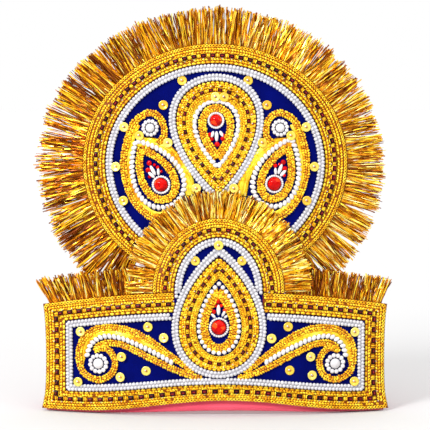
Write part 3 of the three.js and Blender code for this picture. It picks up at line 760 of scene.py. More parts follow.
# The arch lace's outer size, so much bigger, and its inner size, so much smaller
def archOut(by):
    return arch["halfWidth"] + by, arch["rise"] + by


def archIn(by):
    return arch["innerHalfWidth"] - by, arch["innerRise"] - by


def archLine(halfWidth, rise, footInset, steps=110):
    edge = bandTop(footInset - gap, halfWidth - arch["x"]) - arch["v"]
    foot = math.degrees(math.asin(edge / rise))
    return ellipseLine(arch["x"], arch["v"], halfWidth, rise, foot, 180 - foot, steps)


def discLine(by, start=0, end=360, steps=300):
    return ellipseLine(0, disc["v"], disc["halfWidth"] + by, disc["halfHeight"] + by, start, end, steps)


# Along the inner edge of the disc's lace, so far in from it
def discInner(by):
    return ellipseLine(0, disc["v"], disc["innerHalfWidth"] - by, disc["innerHalfHeight"] - by, steps=300)


# Boards, covered in pink cloth

board = {"thick": 3.0, "soft": 0.7, "edgeInset": 0.4, "below": 1.6, "hemInset": 1.2, "hemWidth": 9.0,
         "hemThick": 0.25, "hemWaves": ((0.2, 0.9), (0.14, 2.3))}


# Front and back faces in a few steps, with soft cut edges between them
def boardProfile(low, high, steps=8, edge=0.012):
    shares = [edge + (1 - 2 * edge) * i / steps for i in range(steps + 1)]
    soft = board["soft"]
    return [*((share, low) for share in shares), (1, low + soft), (1, high - soft),
            *((share, high) for share in reversed(shares)), (0, high - soft), (0, low + soft)]


def frontTop(inset, halfWidth, rise, x):
    share = np.clip((x - arch["x"]) / halfWidth, -1, 1)
    arched = np.where(np.abs(share) < 1, arch["v"] + rise * np.sqrt(1 - share ** 2), 0)
    return np.maximum(bandTop(inset, x), arched)


# Columns across the front board, close together at the arch's two feet
def frontColumns(halfWidth, archHalfWidth):
    left, right = arch["x"] - archHalfWidth, arch["x"] + archHalfWidth
    middle = arch["x"] - (archHalfWidth - 0.2) * np.cos(np.linspace(0, math.pi, 61))
    return np.concatenate([np.linspace(-halfWidth, left, 25), middle, np.linspace(right, halfWidth, 25)])


def frontEdges(side, foot, top, archHalfWidth, rise):
    x = frontColumns(side, archHalfWidth)
    return np.stack([x, bandFoot(foot, x)], 1), np.stack([x, frontTop(top, archHalfWidth, rise, x)], 1)


def discEdges(halfWidth, halfHeight, columns=84):
    x = -halfWidth * np.cos(np.radians(np.linspace(3, 177, columns + 1)))
    reach = halfHeight * np.sqrt(1 - (x / halfWidth) ** 2)
    return np.stack([x, disc["v"] - reach], 1), np.stack([x, disc["v"] + reach], 1)


def areaOf(edges):
    low, high = edges
    width = np.diff(lengthsAlong(low * [1, 0]))
    tall = (high - low)[:, 1]
    return float(np.sum(width * (tall[1:] + tall[:-1]) / 2)) * 1e-6


# Works out the flat cloth's area between its two edges; the result is not used
def declareCloth(edges):
    width = float(lengthsAlong(edges[0] * [1, 0])[-1]) * 0.001
    tall = float(edges[1][:, 1].max() - edges[0][:, 1].min()) * 0.001
    min(areaOf(edges), width * tall)


inset = board["edgeInset"]
frontOutline = frontEdges(band["halfWidth"] - inset, inset - board["below"], inset, *archOut(-inset))
frontBoard = layStrip("frontBoard", *frontOutline, boardProfile(-board["thick"], 0))
coat(smooth(frontBoard, False), pinkCloth)
finishPiece(frontBoard, "pink_cloth", "front_board")

discOutline = discEdges(disc["halfWidth"] - inset, disc["halfHeight"] - inset)
discBoard = layStrip("discBoard", *discOutline, boardProfile(discDepth - board["thick"], discDepth))
coat(discBoard, pinkCloth)
finishPiece(discBoard, "pink_cloth", "disc_board")


# The front board's outline as one closed line, so far in from its edge
def frontLoop(by):
    lower, upper = frontEdges(band["halfWidth"] - by, by, by, *archOut(-by))
    return np.concatenate([lower, upper[::-1], lower[:1]])


# The cloth's turned-over edge on a board's back, its cut side a little uneven
def backHem(name, line, back):
    outer, inner = line(board["hemInset"]), line(board["hemInset"] + board["hemWidth"])
    wobble = np.array([[sum(size * math.sin(i * pace) for size, pace in board["hemWaves"])] * 2
                       for i in range(len(inner))])
    hem = layStrip(name, inner + wobble, outer, boxProfile(back - board["hemThick"], back, 0.1, 0.1), True)
    return finishPiece(coat(hem, pinkCloth), "pink_cloth")


discHem = backHem("discBackHem", lambda by: discLine(-by), discDepth - board["thick"])
frontHem = backHem("frontBackHem", frontLoop, -board["thick"])
declareCloth(frontOutline)
declareCloth(discOutline)
print("crown: boards covered")

# Head band: a closed loop of covered card, bowed in front and rounder behind

headBandSize = {"thick": 2.0, "halfWidth": 129, "depth": 92, "corner": 8, "frontTop": 78, "backTop": 60,
                "meanHeight": 70, "fallEnds": 0.7, "hemRise": 3.4, "roll": 0.35, "steps": (90, 12, 90, 12)}


# The loop's outer line in plan, as (x, y, outward x, outward y, how far back from 0 to 1)
def headBandPlan():
    s = headBandSize
    front = bow["radius"] - board["thick"] - gap
    faceY = bow["axis"] - bow["radius"]
    backY, cornerX = faceY + s["depth"], s["halfWidth"] - s["corner"]
    cornerY = bow["axis"] - math.sqrt((front - s["corner"]) ** 2 - cornerX ** 2)
    inside = backY - s["corner"]
    backCentre = (inside ** 2 - cornerX ** 2 - cornerY ** 2) / (2 * (inside - cornerY))
    frontAngle = math.atan2(cornerX, bow["axis"] - cornerY)
    backAngle = math.atan2(cornerX, cornerY - backCentre)
    quarter = math.pi / 2
    arcs = [(0, bow["axis"], front, frontAngle - quarter),
            (cornerX, cornerY, s["corner"], quarter - backAngle),
            (0, backCentre, backY - backCentre, quarter + backAngle),
            (-cornerX, cornerY, s["corner"], 3 * quarter - frontAngle)]
    plan, start = [], -quarter - frontAngle
    for (x, y, r, end), steps in zip(arcs, s["steps"]):
        for i in range(steps):
            angle = start + (end - start) * i / steps
            ox, oy = math.cos(angle), math.sin(angle)
            back = max(0.0, (y + r * oy - cornerY) / (backY - cornerY))
            plan.append((x + r * ox, y + r * oy, ox, oy, back))
        start = end
    return plan


plan = headBandPlan()


def wallHeights(x, back):
    s = headBandSize
    ease = min(back / s["fallEnds"], 1)
    top = s["frontTop"] - (s["frontTop"] - s["backTop"]) * ease * ease * (3 - 2 * ease)
    foot = s["hemRise"] * footRise(x - band["riseShift"]) / band["footRise"] if back == 0 else 0.0
    return foot, top


# A point so far out from the loop, at a share of the wall's height and then so much higher
def wallPoint(i, bulge, share, lift=0.0):
    x, y, ox, oy, back = plan[i % len(plan)]
    foot, top = wallHeights(x, back)
    return Vector((x + ox * bulge, y + oy * bulge, foot + (top - foot) * share + lift)) * 0.001


# Up the outer face from the rolled hem, over the top edge and down the inner face
def makeHeadBand():
    s = headBandSize
    thick, roll = s["thick"], s["roll"]
    outside = [(0.0, 0, 0.0), (roll, 0, 0.7), (roll, 0, 1.6), (0.0, 0, 2.6), (0.0, 0.3, 0), (0.0, 0.6, 0),
               (0.0, 0.85, 0), (0.0, 1, -0.8), (-0.5, 1, 0.0)]
    inside = [(-thick + 0.5, 1, 0.0), (-thick, 1, -0.8), (-thick, 0.6, 0), (-thick, 0.3, 0), (-thick, 0, 2.6),
              (-thick - roll, 0, 1.6), (-thick - roll, 0, 0.7), (-thick + 0.4, 0, 0.0)]
    ring = outside + inside
    around = sum(math.dist(plan[i][:2], plan[i - 1][:2]) for i in range(len(plan))) * 0.001
    bothFaces = 0.16
    piece = layGrid("headBand", len(plan), len(ring),
                    lambda u, w: wallPoint(round(u * len(plan)), *ring[round(w * len(ring)) % len(ring)]),
                    (around, bothFaces))
    coat(smooth(tidyNormals(piece)), pinkCloth)
    finishPiece(piece, "pink_cloth", "head_band")


makeHeadBand()


bandStitch = {"size": (2.6, 0.55, 0.5), "pitch": 4.6, "out": 0.1, "rows": ((0, 5.5), (1, -4.5)), "hidden": 126,
              "seam": (-3, 3), "inSeam": 11, "seamStart": 0.08, "seamStep": 0.084}


# Hand stitches along the hem and the top edge, and the seam that closes the loop behind
def makeBandStitches():
    s, seats, run = bandStitch, [], 0.0
    for i in range(len(plan)):
        x, y, ox, oy, back = plan[i]
        run += math.dist(plan[i][:2], plan[i - 1][:2])
        if run < s["pitch"] or (back == 0 and abs(x) < s["hidden"]):
            continue
        run = 0.0
        level = Matrix(((-oy, ox, 0), (0, 0, 1), (ox, oy, 0))).transposed().to_4x4()
        seats += [Matrix.Translation(wallPoint(i, s["out"], *row)) @ level for row in s["rows"]]
    middle = [i for i in range(len(plan)) if plan[i][4] > 0.999]
    for i in (middle[len(middle) // 2] + aside for aside in s["seam"]):
        ox, oy = plan[i][2:4]
        upright = Matrix(((0, 0, 1), (oy, -ox, 0), (ox, oy, 0))).transposed().to_4x4()
        seats += [Matrix.Translation(wallPoint(i, s["out"], s["seamStart"] + s["seamStep"] * k)) @ upright
                  for k in range(s["inSeam"])]
    stitch = lobePiece("stitch", *s["size"])
    piece = copiesOf(stitch, seats, "headBandStitches")
    putAway(stitch)
    finishPiece(coat(piece, pinkCloth), "pink_cloth")


makeBandStitches()
print("crown: head band folded")

# Velvet

velvet = {"thick": 1.0, "soft": 0.2, "wave": 0.12, "paces": ((0.31, 0.17), (-0.05, 0.23))}


# Velvet rolls at its edges and is never quite flat
def layVelvet(node, edges, low):
    high, soft = low + velvet["thick"], velvet["soft"]
    profile = [(share, min(max(depth, low + soft), high - soft) if share in (0, 1) else depth)
               for share, depth in boardProfile(low, high, 10, 0.02)]
    piece = layStrip(pieceName(node), *edges, profile)
    for vertex in piece.data.vertices:
        x, z = vertex.co.x * 1000, vertex.co.z * 1000
        wave = math.prod(math.sin(x * across + z * up) for across, up in velvet["paces"])
        vertex.co.y -= 0.001 * velvet["wave"] * wave
    finishPiece(coat(piece, navyVelvet), "navy_velvet", node)
    declareCloth(edges)


layVelvet("front_velvet", frontEdges(band["halfWidth"] - lace["side"] - gap, lace["foot"] + gap,
                                     lace["top"] + gap, *archIn(gap)), layer["velvet"])
layVelvet("disc_velvet", discEdges(disc["innerHalfWidth"] - gap, disc["innerHalfHeight"] - gap),
          discDepth + layer["velvet"])
print("crown: velvet laid")

# Lace: a dark net ground, rows of gold chain stitch and cord, and set stones

laceParts = {"ring": (2.7, 2.6, 0.95), "knot": (2.6, 1.85, 2.1), "lobe": (3.5, 2.6, 1.9),
             "stitch": (1.3, 1.3, 1.2), "stone": (4.1, 3.1, 1.6), "frame": (6.1, 4.9, 1.4),
             "spacer": (0.72, 1.25), "ringPitch": 2.3, "knotPitch": 2.1, "slant": 0.5, "wobble": 0.2,
             "knotSizes": (0.88, 1.08), "missed": 0.04, "forWidth": 15.5}
laceLift = {"ground": 1.1, "knots": 1.1, "rings": 1.35, "scallops": 0.95, "stitches": 1.25, "frames": 1.45,
            "spacers": 1.45, "stones": 1.75, "sparkles": 1.8}
ring = coat(linkPiece("ring", *laceParts["ring"]), goldLace)
knot = coat(lobePiece("knot", *laceParts["knot"]), goldLace)
# Dark lobes between the scallops and beside the rows, standing for painted shade in the lace's gaps
stitch = coat(lobePiece("laceStitch", *laceParts["stitch"]), darkThread)
scallop = coat(lobePiece("scallop", *laceParts["lobe"]), goldLace)
stone = stonePiece("stone", *laceParts["stone"])
frameRing = coat(linkPiece("frameRing", *laceParts["frame"], 12), goldLace)
sparkle = coat(ballPiece("sparkle", beads["sparkle"], (1, 1, 0.9), 1), riceWhite)
quarterTurn = Matrix.Rotation(math.pi / 2, 4, "Z") @ Matrix.Diagonal((0.9, 0.9, 0.9, 1))


# rows holds the shares of the width, from the inner edge outwards, where each kind of row runs
def layLace(node, inner, outer, low, pitch, rows, closed=False):
    name, parts = pieceName(node), []
    size = float(np.mean(np.linalg.norm(outer - inner, axis=1))) / laceParts["forWidth"]
    less = size ** 0.5
    wobble = lambda: random.uniform(-laceParts["wobble"], laceParts["wobble"])
    along = lambda share, step, phase=0.5: walk(between(inner, outer, share), step, phase)
    seated = lambda kind, places, wide=1, tall=1: [seat(x, v, low + laceLift[kind], turn, (wide, tall, 1))
                                                   for x, v, turn in places]
    add = lambda base, kind, seats: parts.append(copiesOf(base, seats, name + kind.capitalize()))
    ground = layStrip(name + "Ground", inner, outer, boxProfile(low, low + laceLift["ground"]), closed)
    parts.append(coat(withTint(ground), laceGround))
    seats = []
    for k, share in enumerate(rows["knots"]):
        lean = laceParts["slant"] * (1 if k % 2 else -1)
        for x, v, turn in along(share, laceParts["knotPitch"] * less, 0.3 + 0.4 * (k % 2)):
            if random.random() > laceParts["missed"]:
                wide = random.uniform(*laceParts["knotSizes"])
                seats += seated("knots", [(x, v, turn + lean + wobble())], wide, wide * less)
    add(knot, "knots", seats)
    add(ring, "rings", seated("rings", [(x, v, turn + wobble()) for x, v, turn in
                                        along(rows["rings"], laceParts["ringPitch"] * size)], size, size))
    add(scallop, "scallops", seated("scallops", along(rows["scallops"], pitch / 2), less, less))
    add(stitch, "stitches", seated("stitches", [place for share in rows["stitches"]
                                                for place in along(share, pitch / 2, 0.0)]))
    stones, spaces = along(rows["stones"], pitch), along(rows["stones"], pitch, 0.0)
    add(frameRing, "frames", seated("frames", stones, less, size))
    wide, tall = laceParts["spacer"]
    seats = seated("spacers", spaces, wide, tall * size)
    add(ring, "spacers", seats)
    add(knot, "spacerKnots", [place @ quarterTurn for place in seats])
    finishPiece(joined(name, parts), "gold_lace", node)
    seats = seated("stones", stones, size ** 0.7, size ** 0.7)
    finishPiece(copiesOf(stone, seats, name + "Stones"), "red_stone")
    seats = seated("sparkles", along(rows["sparkles"], pitch, 0.0))
    finishPiece(copiesOf(sparkle, seats, name + "Sparkles"), "pearl")


edging = {"scallops": 0.07, "knots": [0.215, 0.6, 0.735], "rings": 0.9, "stones": 0.415,
          "sparkles": 0.27, "stitches": [0.0, 0.5]}
dropEdging = {"scallops": 0.93, "knots": [0.8, 0.68, 0.32, 0.19], "rings": 0.06, "stones": 0.5,
              "sparkles": 0.74, "stitches": [1.0, 0.5]}
drops = (("front", frontDrop, 0), ("disc", discDrop, discDepth))

archGap = arch["innerHalfWidth"] + gap
layLace("band_lace", bandLine(1, 0, archGap), bandLine(0, 0, archGap), layer["lace"], 8.1,
        {**edging, "sparkles": 0.57})
layLace("arch_lace", archLine(*archIn(0), 0), archLine(*archOut(0), 0), layer["lace"], 7.4, edging)
layLace("disc_lace", discInner(0), discLine(0), discDepth + layer["lace"], 7.1, edging, True)
for side, shape, level in drops:
    layLace(side + "_drop_lace", dropLine(shape, shape["laceInner"]), dropLine(shape, shape["laceOuter"]),
            level + layer["row"], 7.0, dropEdging, True)
print("crown: lace laid")
putAway(ring, knot, stitch, scallop, stone, frameRing, sparkle)

# Rows of pearls

pearlRows = {"pitch": 2.76, "shares": (0.25, 0.75), "sink": 0.95, "wobble": 0.3, "tape": 1.2,
             "tapeEdges": (0.16, 0.84)}
dropRim = dropLine(frontDrop, grown(frontDrop["pearls"], pearlWidth / 2 + 1.1))


# Two rows of pearls side by side on a white tape, coloured grey here as painted shade between the pearls; free
# leaves out what another row covers
def layPearls(node, inner, outer, low, closed=False, free=None):
    name, wobble, seats = pieceName(node), pearlRows["wobble"], []
    keep = lambda x, v: free is None or not isInside(free, x, v)
    for k, share in enumerate(pearlRows["shares"]):
        for x, v, turn in walk(between(inner, outer, share), pearlRows["pitch"], 0.5 * k):
            if keep(x, v):
                seats.append(seat(x, v, low + pearlRows["sink"], turn + random.uniform(-wobble, wobble)))
    parts = [copiesOf(pearl, seats, name)]
    kept = [keep(*point) for point in between(inner, outer, 0.5)]
    cuts = [i for i in range(1, len(kept)) if kept[i] != kept[i - 1]]
    for start, end in zip([0, *cuts], [*cuts, len(kept)]):
        if kept[start] and end - start > 2:
            edges = [between(inner[start:end], outer[start:end], share) for share in pearlRows["tapeEdges"]]
            tape = layStrip(name + "Tape", *edges, boxProfile(low, low + pearlRows["tape"]),
                            closed and free is None)
            parts.append(coat(withTint(tape), tapeGrey))
    finishPiece(joined(name, parts), "pearl", node)


row = layer["row"]
archInset = lace["top"] + gap
layPearls("band_pearls", bandLine(1, gap + pearlWidth, 20), bandLine(1, gap, 20), row, free=dropRim)
layPearls("arch_pearls", archLine(*archIn(gap + pearlWidth), archInset), archLine(*archIn(gap), archInset), row,
          free=dropRim)
layPearls("disc_pearls", discInner(gap + pearlWidth), discInner(gap), discDepth + row, True)
for side, shape, level in drops:
    inner, outer = (dropLine(shape, grown(shape["pearls"], by)) for by in (-pearlWidth / 2, pearlWidth / 2))
    layPearls(side + "_drop_pearls", inner, outer, level + row, True)

# Single rows: round pearls in the front drop, slanting rice pearls elsewhere
roundRow = {"pitch": 4.1, "sink": 1.2}
ricePearl = {"size": (4.8, 3.4, 2.5), "slant": 0.95, "pitch": 3.7, "wobble": 0.15, "sink": 1.05,
             "overFoil": 0.15}
rice = coat(ballPiece("rice", 0.5, ricePearl["size"]), riceWhite)
roundPearl = coat(ballPiece("roundPearl", beads["frontInner"], (1, 1, 0.85)), riceWhite)


def layRice(node, line, low, slant, wobble=ricePearl["wobble"]):
    seats = [seat(x, v, low + ricePearl["sink"], turn + slant + random.uniform(-wobble, wobble))
             for x, v, turn in walk(line, ricePearl["pitch"])]
    finishPiece(copiesOf(rice, seats, pieceName(node)), "pearl", node)


seats = [seat(x, v, row + roundRow["sink"], turn)
         for x, v, turn in walk(dropLine(frontDrop, frontDrop["inner"]), roundRow["pitch"], 0.0)]
finishPiece(copiesOf(roundPearl, seats, "frontDropInnerPearls"), "pearl", "front_drop_inner_pearls")
layRice("disc_drop_inner_pearls", dropLine(discDrop, discDrop["inner"]), discDepth + row, 0.5, 0.55)
print("crown: pearls sewn")

# Gold cords: rows of slanting lobes, plaited over a brown core

cordParts = {"lobe": (2.6, 1.8, 1.8), "pitch": 2.0, "slant": 0.65, "wobble": 0.45, "rowWidth": 1.6, "wide": 5.3,
             "core": 0.42, "coreHigh": 1.2, "lift": 0.95, "slip": (0.0005, 0.0002)}
plait = coat(lobePiece("plait", *cordParts["lobe"]), goldCord)


# Lays a cord along each line; widths gives its width at even steps from the line's start to its end
def layPlait(node, lines, widths, low):
    name, parts, s = pieceName(node), [], cordParts
    rows = max(2, round(max(widths) / s["rowWidth"]))
    for line in lines:
        width = np.interp(np.linspace(0, 1, len(line)), np.linspace(0, 1, len(widths)), widths)[:, None]
        core = layStrip(name + "Core", beside(line, -width * s["core"]), beside(line, width * s["core"]),
                        boxProfile(low, low + s["coreHigh"]))
        parts.append(coat(withTint(core), laceGround))
        seats = []
        for k in range(rows):
            phase = random.random()
            for x, v, turn in walk(beside(line, width * ((k + 0.5) / rows - 0.5)), s["pitch"], phase):
                nearest = np.hypot(line[:, 0] - x, line[:, 1] - v).argmin()
                size = min(1, width[nearest, 0] / rows / s["rowWidth"] + 0.1) * random.uniform(0.92, 1.1)
                lean = s["slant"] * (1 if k % 2 else -1) + random.uniform(-s["wobble"], s["wobble"])
                along, out = (random.uniform(-by, by) for by in s["slip"])
                seats.append(seat(x, v, low + s["lift"], turn + lean, (size, size, 1))
                             @ Matrix.Translation((along, 0, out)))
        parts.append(copiesOf(plait, seats, name))
    finishPiece(joined(name, parts), "gold_cord", node)


layPlait("front_drop_cord", [dropLine(frontDrop, frontDrop["cord"])], [8, 7.4, 6, 6.4, 7, 6.4, 6, 7.4, 8], row)
layPlait("disc_drop_cord", [dropLine(discDrop, discDrop["cord"])], [7, 7, 6, 5.8, 5.8, 5.8, 6, 7, 7],
         discDepth + row)

# The leaves on the disc and the scrolls on the band: what is drawn for the right side is flipped
# for the left, apart from what left and right say
paisley = {"left": {"x": -40.8, "v": 175.3, "lean": -29.5, "plump": 1.03, "stretch": 1.6},
           "right": {"x": 44.7, "v": 175.9, "lean": 20.5, "plump": 0.94, "stretch": 0},
           "point": 1, "narrowing": 0.7, "rosette": (49, 218.2, 6.8),
           "pearls": {"half": 17.7, "tip": 36.2, "round": 17.3},
           "cord": {"half": 11.4, "tip": 28.4, "round": 11.5},
           "cordWidths": [7, 5.6, 5.6, 5.8, 5.8, 5.8, 5.6, 5.6, 7],
           "outer": [(43.5, 206.6), (38.9, 211.5), (38.6, 219), (42, 226.4), (49.4, 229.7), (60.4, 222.8),
                     (66.3, 209.5), (69.4, 190), (66.6, 173.5), (59.3, 159.5), (46, 149.8), (32.5, 151),
                     (21.5, 158.5)],
           "foil": [(60, 208.5), (53, 206.8), (46, 206.2), (35.6, 200.5), (27, 190.6), (21.6, 180.5),
                    (19, 167)],
           "foilWidth": 8.8, "foilShift": 0.6, "outerFoil": (-1.9, -5.6), "outerFoilFrom": 0.42}
scroll = {"x": 2.3, "rosette": (89, 38.9, 8.0), "leftLonger": 1.06, "leftShift": 3.0,
          "outer": [(20.5, 33.2), (26.6, 38.4), (38, 47.3), (52, 57.9), (66, 64.8), (79, 67), (91, 64.8),
                    (100.3, 57), (103.2, 44), (99.8, 31.5), (89.5, 26.5), (79.6, 31.2), (77, 41.5),
                    (81.4, 49.4), (87, 51), (91.6, 48.2)],
          "inner": [(91.6, 48.2), (88.6, 52.6), (82.6, 54.8), (74, 54.5), (60, 48.5), (44, 40.4), (31.5, 34.6),
                    (21, 30.8), (14.5, 29.4)],
          "pearls": [(97.6, 43.4), (94.2, 53.4), (86, 59.6), (74, 59.3), (58, 53), (44.5, 46.2), (35, 40.5)],
          "cordWidths": [3.2, 4.8, 5.2, 5.2, 5.2, 5.2, 5.2, 5.2, 3.6], "foilSpan": (28, 0.58),
          "foilEdges": (-1.9, 0.9)}

# Rosettes: a big pearl in a ring of twelve

rosetteParts = {"ring": 12, "forRadius": 7, "start": 0.3, "ringSink": 1.2, "middleSink": 1.3}
ringPearl = coat(ballPiece("ringPearl", beads["rosetteRing"], (1, 1, 0.9)), riceWhite)
bigPearl = coat(ballPiece("bigPearl", beads["rosetteMiddle"], (1, 1, 0.8), 3), riceWhite)


# Seats evenly round a point
def seatsRound(x, v, radius, depth, count, start=0.0, size=1):
    angles = [2 * math.pi * (k + start) / count for k in range(count)]
    return [seat(x + radius * math.cos(angle), v + radius * math.sin(angle), depth, angle, (size, size, 1))
            for angle in angles]


def layRosette(node, x, v, radius, low):
    name, s = pieceName(node), rosetteParts
    size = radius / s["forRadius"]
    around = seatsRound(x, v, radius - beads["rosetteRing"] * size, low + s["ringSink"], s["ring"],
                        s["start"], size)
    parts = [copiesOf(ringPearl, around, name + "Ring"),
             copiesOf(bigPearl, [seat(x, v, low + s["middleSink"], 0, (size, size, 1))], name)]
    finishPiece(joined(name, parts), "pearl", node)


# Satin foil, gathered between the rows beside it

foil = {"thick": 0.8, "rows": 7, "wall": 0.3, "pitch": 1.1, "lift": 0.15, "crinkle": 0.32, "drift": 0.25,
        "paces": (1.3, 1.7), "round": 0.6, "under": 0.2, "outerUnder": 0.3}


def foilBetween(name, inner, outer, low):
    long = lengthsAlong(outer)[-1]
    count = int(long / foil["pitch"]) + 2
    inner, outer = evenly(inner, count), evenly(outer, count)
    drift = [foil["drift"] * random.uniform(-1, 1) for step in range(count)]
    longPace, crossPace = foil["paces"]
    def put(u, w):
        i, k = round(u * (count - 1)), round(w * foil["rows"])
        bulge = math.sin(math.pi * k / foil["rows"]) ** foil["round"]
        high = foil["thick"] + foil["crinkle"] * math.sin(i * longPace + k * crossPace) + drift[i]
        return onBow(*between(inner[i], outer[i], k / foil["rows"]), low + foil["lift"] + bulge * high)
    size = lengthsAlong(outer)[-1], float(np.mean(np.linalg.norm(outer - inner, axis=1)))
    piece = layGrid(name, count - 1, foil["rows"], put, (size[0] * 0.001, size[1] * 0.001))
    applyModifier(tidyNormals(piece), "SOLIDIFY", thickness=0.001 * foil["wall"], offset=0)
    return coat(smooth(tidyNormals(piece)), goldFoil)


for side, sign in (("_left", -1), ("_right", 1)):
    low = discDepth + row
    slant = sign * ricePearl["slant"]
    leaf = {**paisley, **paisley[side[1:]]}
    leafRow = lambda size: dropLine(leaf, {"half": size["half"] * leaf["plump"],
                                           "tip": size["tip"] + leaf["stretch"], "round": size["round"]})
    face = lambda line: line * [sign, 1]
    outer, strip = smoothLine(leaf["outer"]), smoothLine(leaf["foil"])
    past = outer[int(len(outer) * leaf["outerFoilFrom"]):]
    wide = leaf["foilWidth"] / 2
    aside = [leaf["foilShift"], 0]
    strips = [foilBetween("satinIn", *(face(beside(strip, by)) + aside for by in (-wide, wide)),
                          low - foil["under"]),
              foilBetween("satinOut", *(face(beside(past, by)) for by in leaf["outerFoil"]),
                          low - foil["outerUnder"])]
    finishPiece(joined(pieceName("paisley_foil" + side), strips), "gold_foil", "paisley_foil" + side)
    layPlait("paisley_cord" + side, [face(outer)], [cordParts["wide"]] * 2, low)
    layPlait("paisley_inner_cord" + side, [leafRow(leaf["cord"])], leaf["cordWidths"], low)
    layRice("paisley_pearls" + side, leafRow(leaf["pearls"]), low + ricePearl["overFoil"], slant)
    x, v, radius = leaf["rosette"]
    layRosette("paisley_rosette" + side, sign * x, v, radius, low)

    shift = [scroll["x"], 0]
    along = lambda line: (line + shift if sign > 0 else
                          (face(line) + shift) * [scroll["leftLonger"], 1] + [scroll["leftShift"], 0])
    outer, inner, pearls = (smoothLine(scroll[line]) for line in ("outer", "inner", "pearls"))
    first, last = scroll["foilSpan"]
    upper, lower = scroll["foilEdges"]
    span = outer[first:int(len(outer) * last)]
    finishPiece(foilBetween(pieceName("scroll_foil" + side), along(beside(span, upper)),
                            along(beside(pearls[::-1], lower)), row - foil["under"]), "gold_foil")
    layPlait("scroll_cord" + side, [along(outer), along(inner[::-1])], scroll["cordWidths"], row)
    layRice("scroll_pearls" + side, along(pearls), row + ricePearl["overFoil"], slant)
    x, v, radius = scroll["rosette"]
    (x, v), = along(np.array([[x, v]]))
    layRosette("scroll_rosette" + side, x, v, radius, row)
inner, outer = (dropLine(discDrop, grown(discDrop[line], by))
                for line, by in (("inner", 0.6), ("laceInner", 3.0)))
finishPiece(foilBetween("discDropSatin", inner, outer, discDepth + row - foil["under"]), "gold_foil")
print("crown: cords, foil and rosettes sewn")

# Red stones in rings of seed beads, with rice beads and small red beads beside them

stoneParts = {"share": 0.74, "height": 4.0, "seed": 0.98, "seeds": 24, "overlap": 0.8,
              "lift": {"seed": 0.9, "petal": 1.6, "red": 1.2}, "petalHigh": 2.2, "redHigh": 1.5}
seed = coat(ballPiece("seed", stoneParts["seed"], (1, 1, 0.9)), riceWhite)
redBead = coat(ballPiece("redBead", 1.0, (1, 1, 0.9)), redGlass)
petal = coat(ballPiece("petal", 0.5), riceWhite)


# A domed stone with a flat back, one unit in radius and height
def cabochonPiece():
    clearSelection()
    bpy.ops.mesh.primitive_uv_sphere_add(segments=28, ring_count=18, radius=0.001)
    return smooth(cutBelow(started("cabochon"), 0))


cabochon = coat(cabochonPiece(), redGlass)
# Each stone's place, radius and board, with rice beads (dx, dv, length, width, turn) and red
# beads (dx, dv, radius) beside it
jewels = {
    "front_drop_stone": {
        "at": (2.9, 68.1, 7.6, 0),
        "rice": [(-0.4, 13.4, 8.4, 3.0, 90), (3.6, 10.8, 6.0, 2.4, 62), (-4.2, 8.9, 4.6, 2.2, 135),
                 (5.2, 8.2, 3.4, 2.0, 40)],
        "red": [(-0.5, 19.6, 1.9), (-3.8, 12.0, 1.7), (4.6, 13.0, 1.6), (-1.9, 16.4, 1.3), (1.6, 16.6, 1.3)]},
    "disc_drop_stone": {
        "at": (0.6, 224.0, 6.3, discDepth),
        "rice": [(-2.6, -10.4, 5.2, 2.6, 70), (0.5, -12.0, 8.2, 3.0, 90), (4.2, -10.1, 5.4, 2.6, 122)],
        "red": [(-4.4, -10.8, 1.8), (-3.2, -13.9, 1.6), (5.1, -13.7, 1.7), (0.9, -18.0, 2.0),
                (5.4, -11.0, 1.3)]},
    "paisley_stone_left": {
        "at": (paisley["left"]["x"], paisley["left"]["v"], 7, discDepth),
        "rice": [(-6.2, 10.9, 8.6, 2.9, -61), (-7.2, 7.4, 6.9, 2.7, -40), (-2.05, 9.8, 5.9, 2.3, -88)],
        "red": [(-8.9, 16.3, 2.0), (-9.8, 10.9, 2.0), (-2.6, 13.2, 1.4), (-8.7, 6.0, 1.3), (0.1, 10.1, 1.1),
                (-5.0, 15.0, 1.2)]},
    "paisley_stone_right": {
        "at": (paisley["right"]["x"], paisley["right"]["v"], 7, discDepth),
        "rice": [(4.3, 11.2, 8.6, 2.9, 69), (6.6, 8.2, 6.9, 2.7, 48), (0.9, 9.6, 5.9, 2.3, 94)],
        "red": [(6.7, 16.4, 2.0), (7.9, 11.5, 2.0), (0.7, 13.8, 1.6), (7.4, 6.4, 1.3), (3.9, 14.9, 1.1)]},
}

for node, jewel in jewels.items():
    x, v, radius, level = jewel["at"]
    low, lift, name = level + row, stoneParts["lift"], pieceName(node)
    wide = stoneParts["share"] * radius
    seats = [seat(x, v, low, 0, (wide, wide, stoneParts["height"]))]
    finishPiece(copiesOf(cabochon, seats, name), "red_stone", node)
    around = radius - stoneParts["seed"] * stoneParts["overlap"]
    seats = seatsRound(x, v, around, low + lift["seed"], stoneParts["seeds"])
    finishPiece(copiesOf(seed, seats, name + "Rim"), "pearl")
    seats = [seat(x + dx, v + dv, low + lift["petal"], math.radians(turn), (*size, stoneParts["petalHigh"]))
             for dx, dv, *size, turn in jewel["rice"]]
    finishPiece(copiesOf(petal, seats, name + "Petals"), "pearl")
    seats = [seat(x + dx, v + dv, low + lift["red"], 0, (r, r, min(r, stoneParts["redHigh"])))
             for dx, dv, r in jewel["red"]]
    finishPiece(copiesOf(redBead, seats, name + "RedBeads"), "red_stone")
print("crown: stones set")

# Sequins, each held by a bead, a white one set up and to the left of the middle as a painted highlight

# steps of the dish are inwards, and up or down; at says where the disc, the knot and the bead lie
sequinParts = {"radius": 3.6, "thick": 0.28, "bead": 0.7, "knot": 0.8, "tip": 0.1, "pressed": 0.4,
               "steps": ((0.35, 0.22), (0.45, -0.1), (1.1, -0.3), (0.7, -0.12)),
               "at": ((0, 0, 0.3), (0.3, -0.2, 0.5), (-0.6, 0.5, 0.7))}


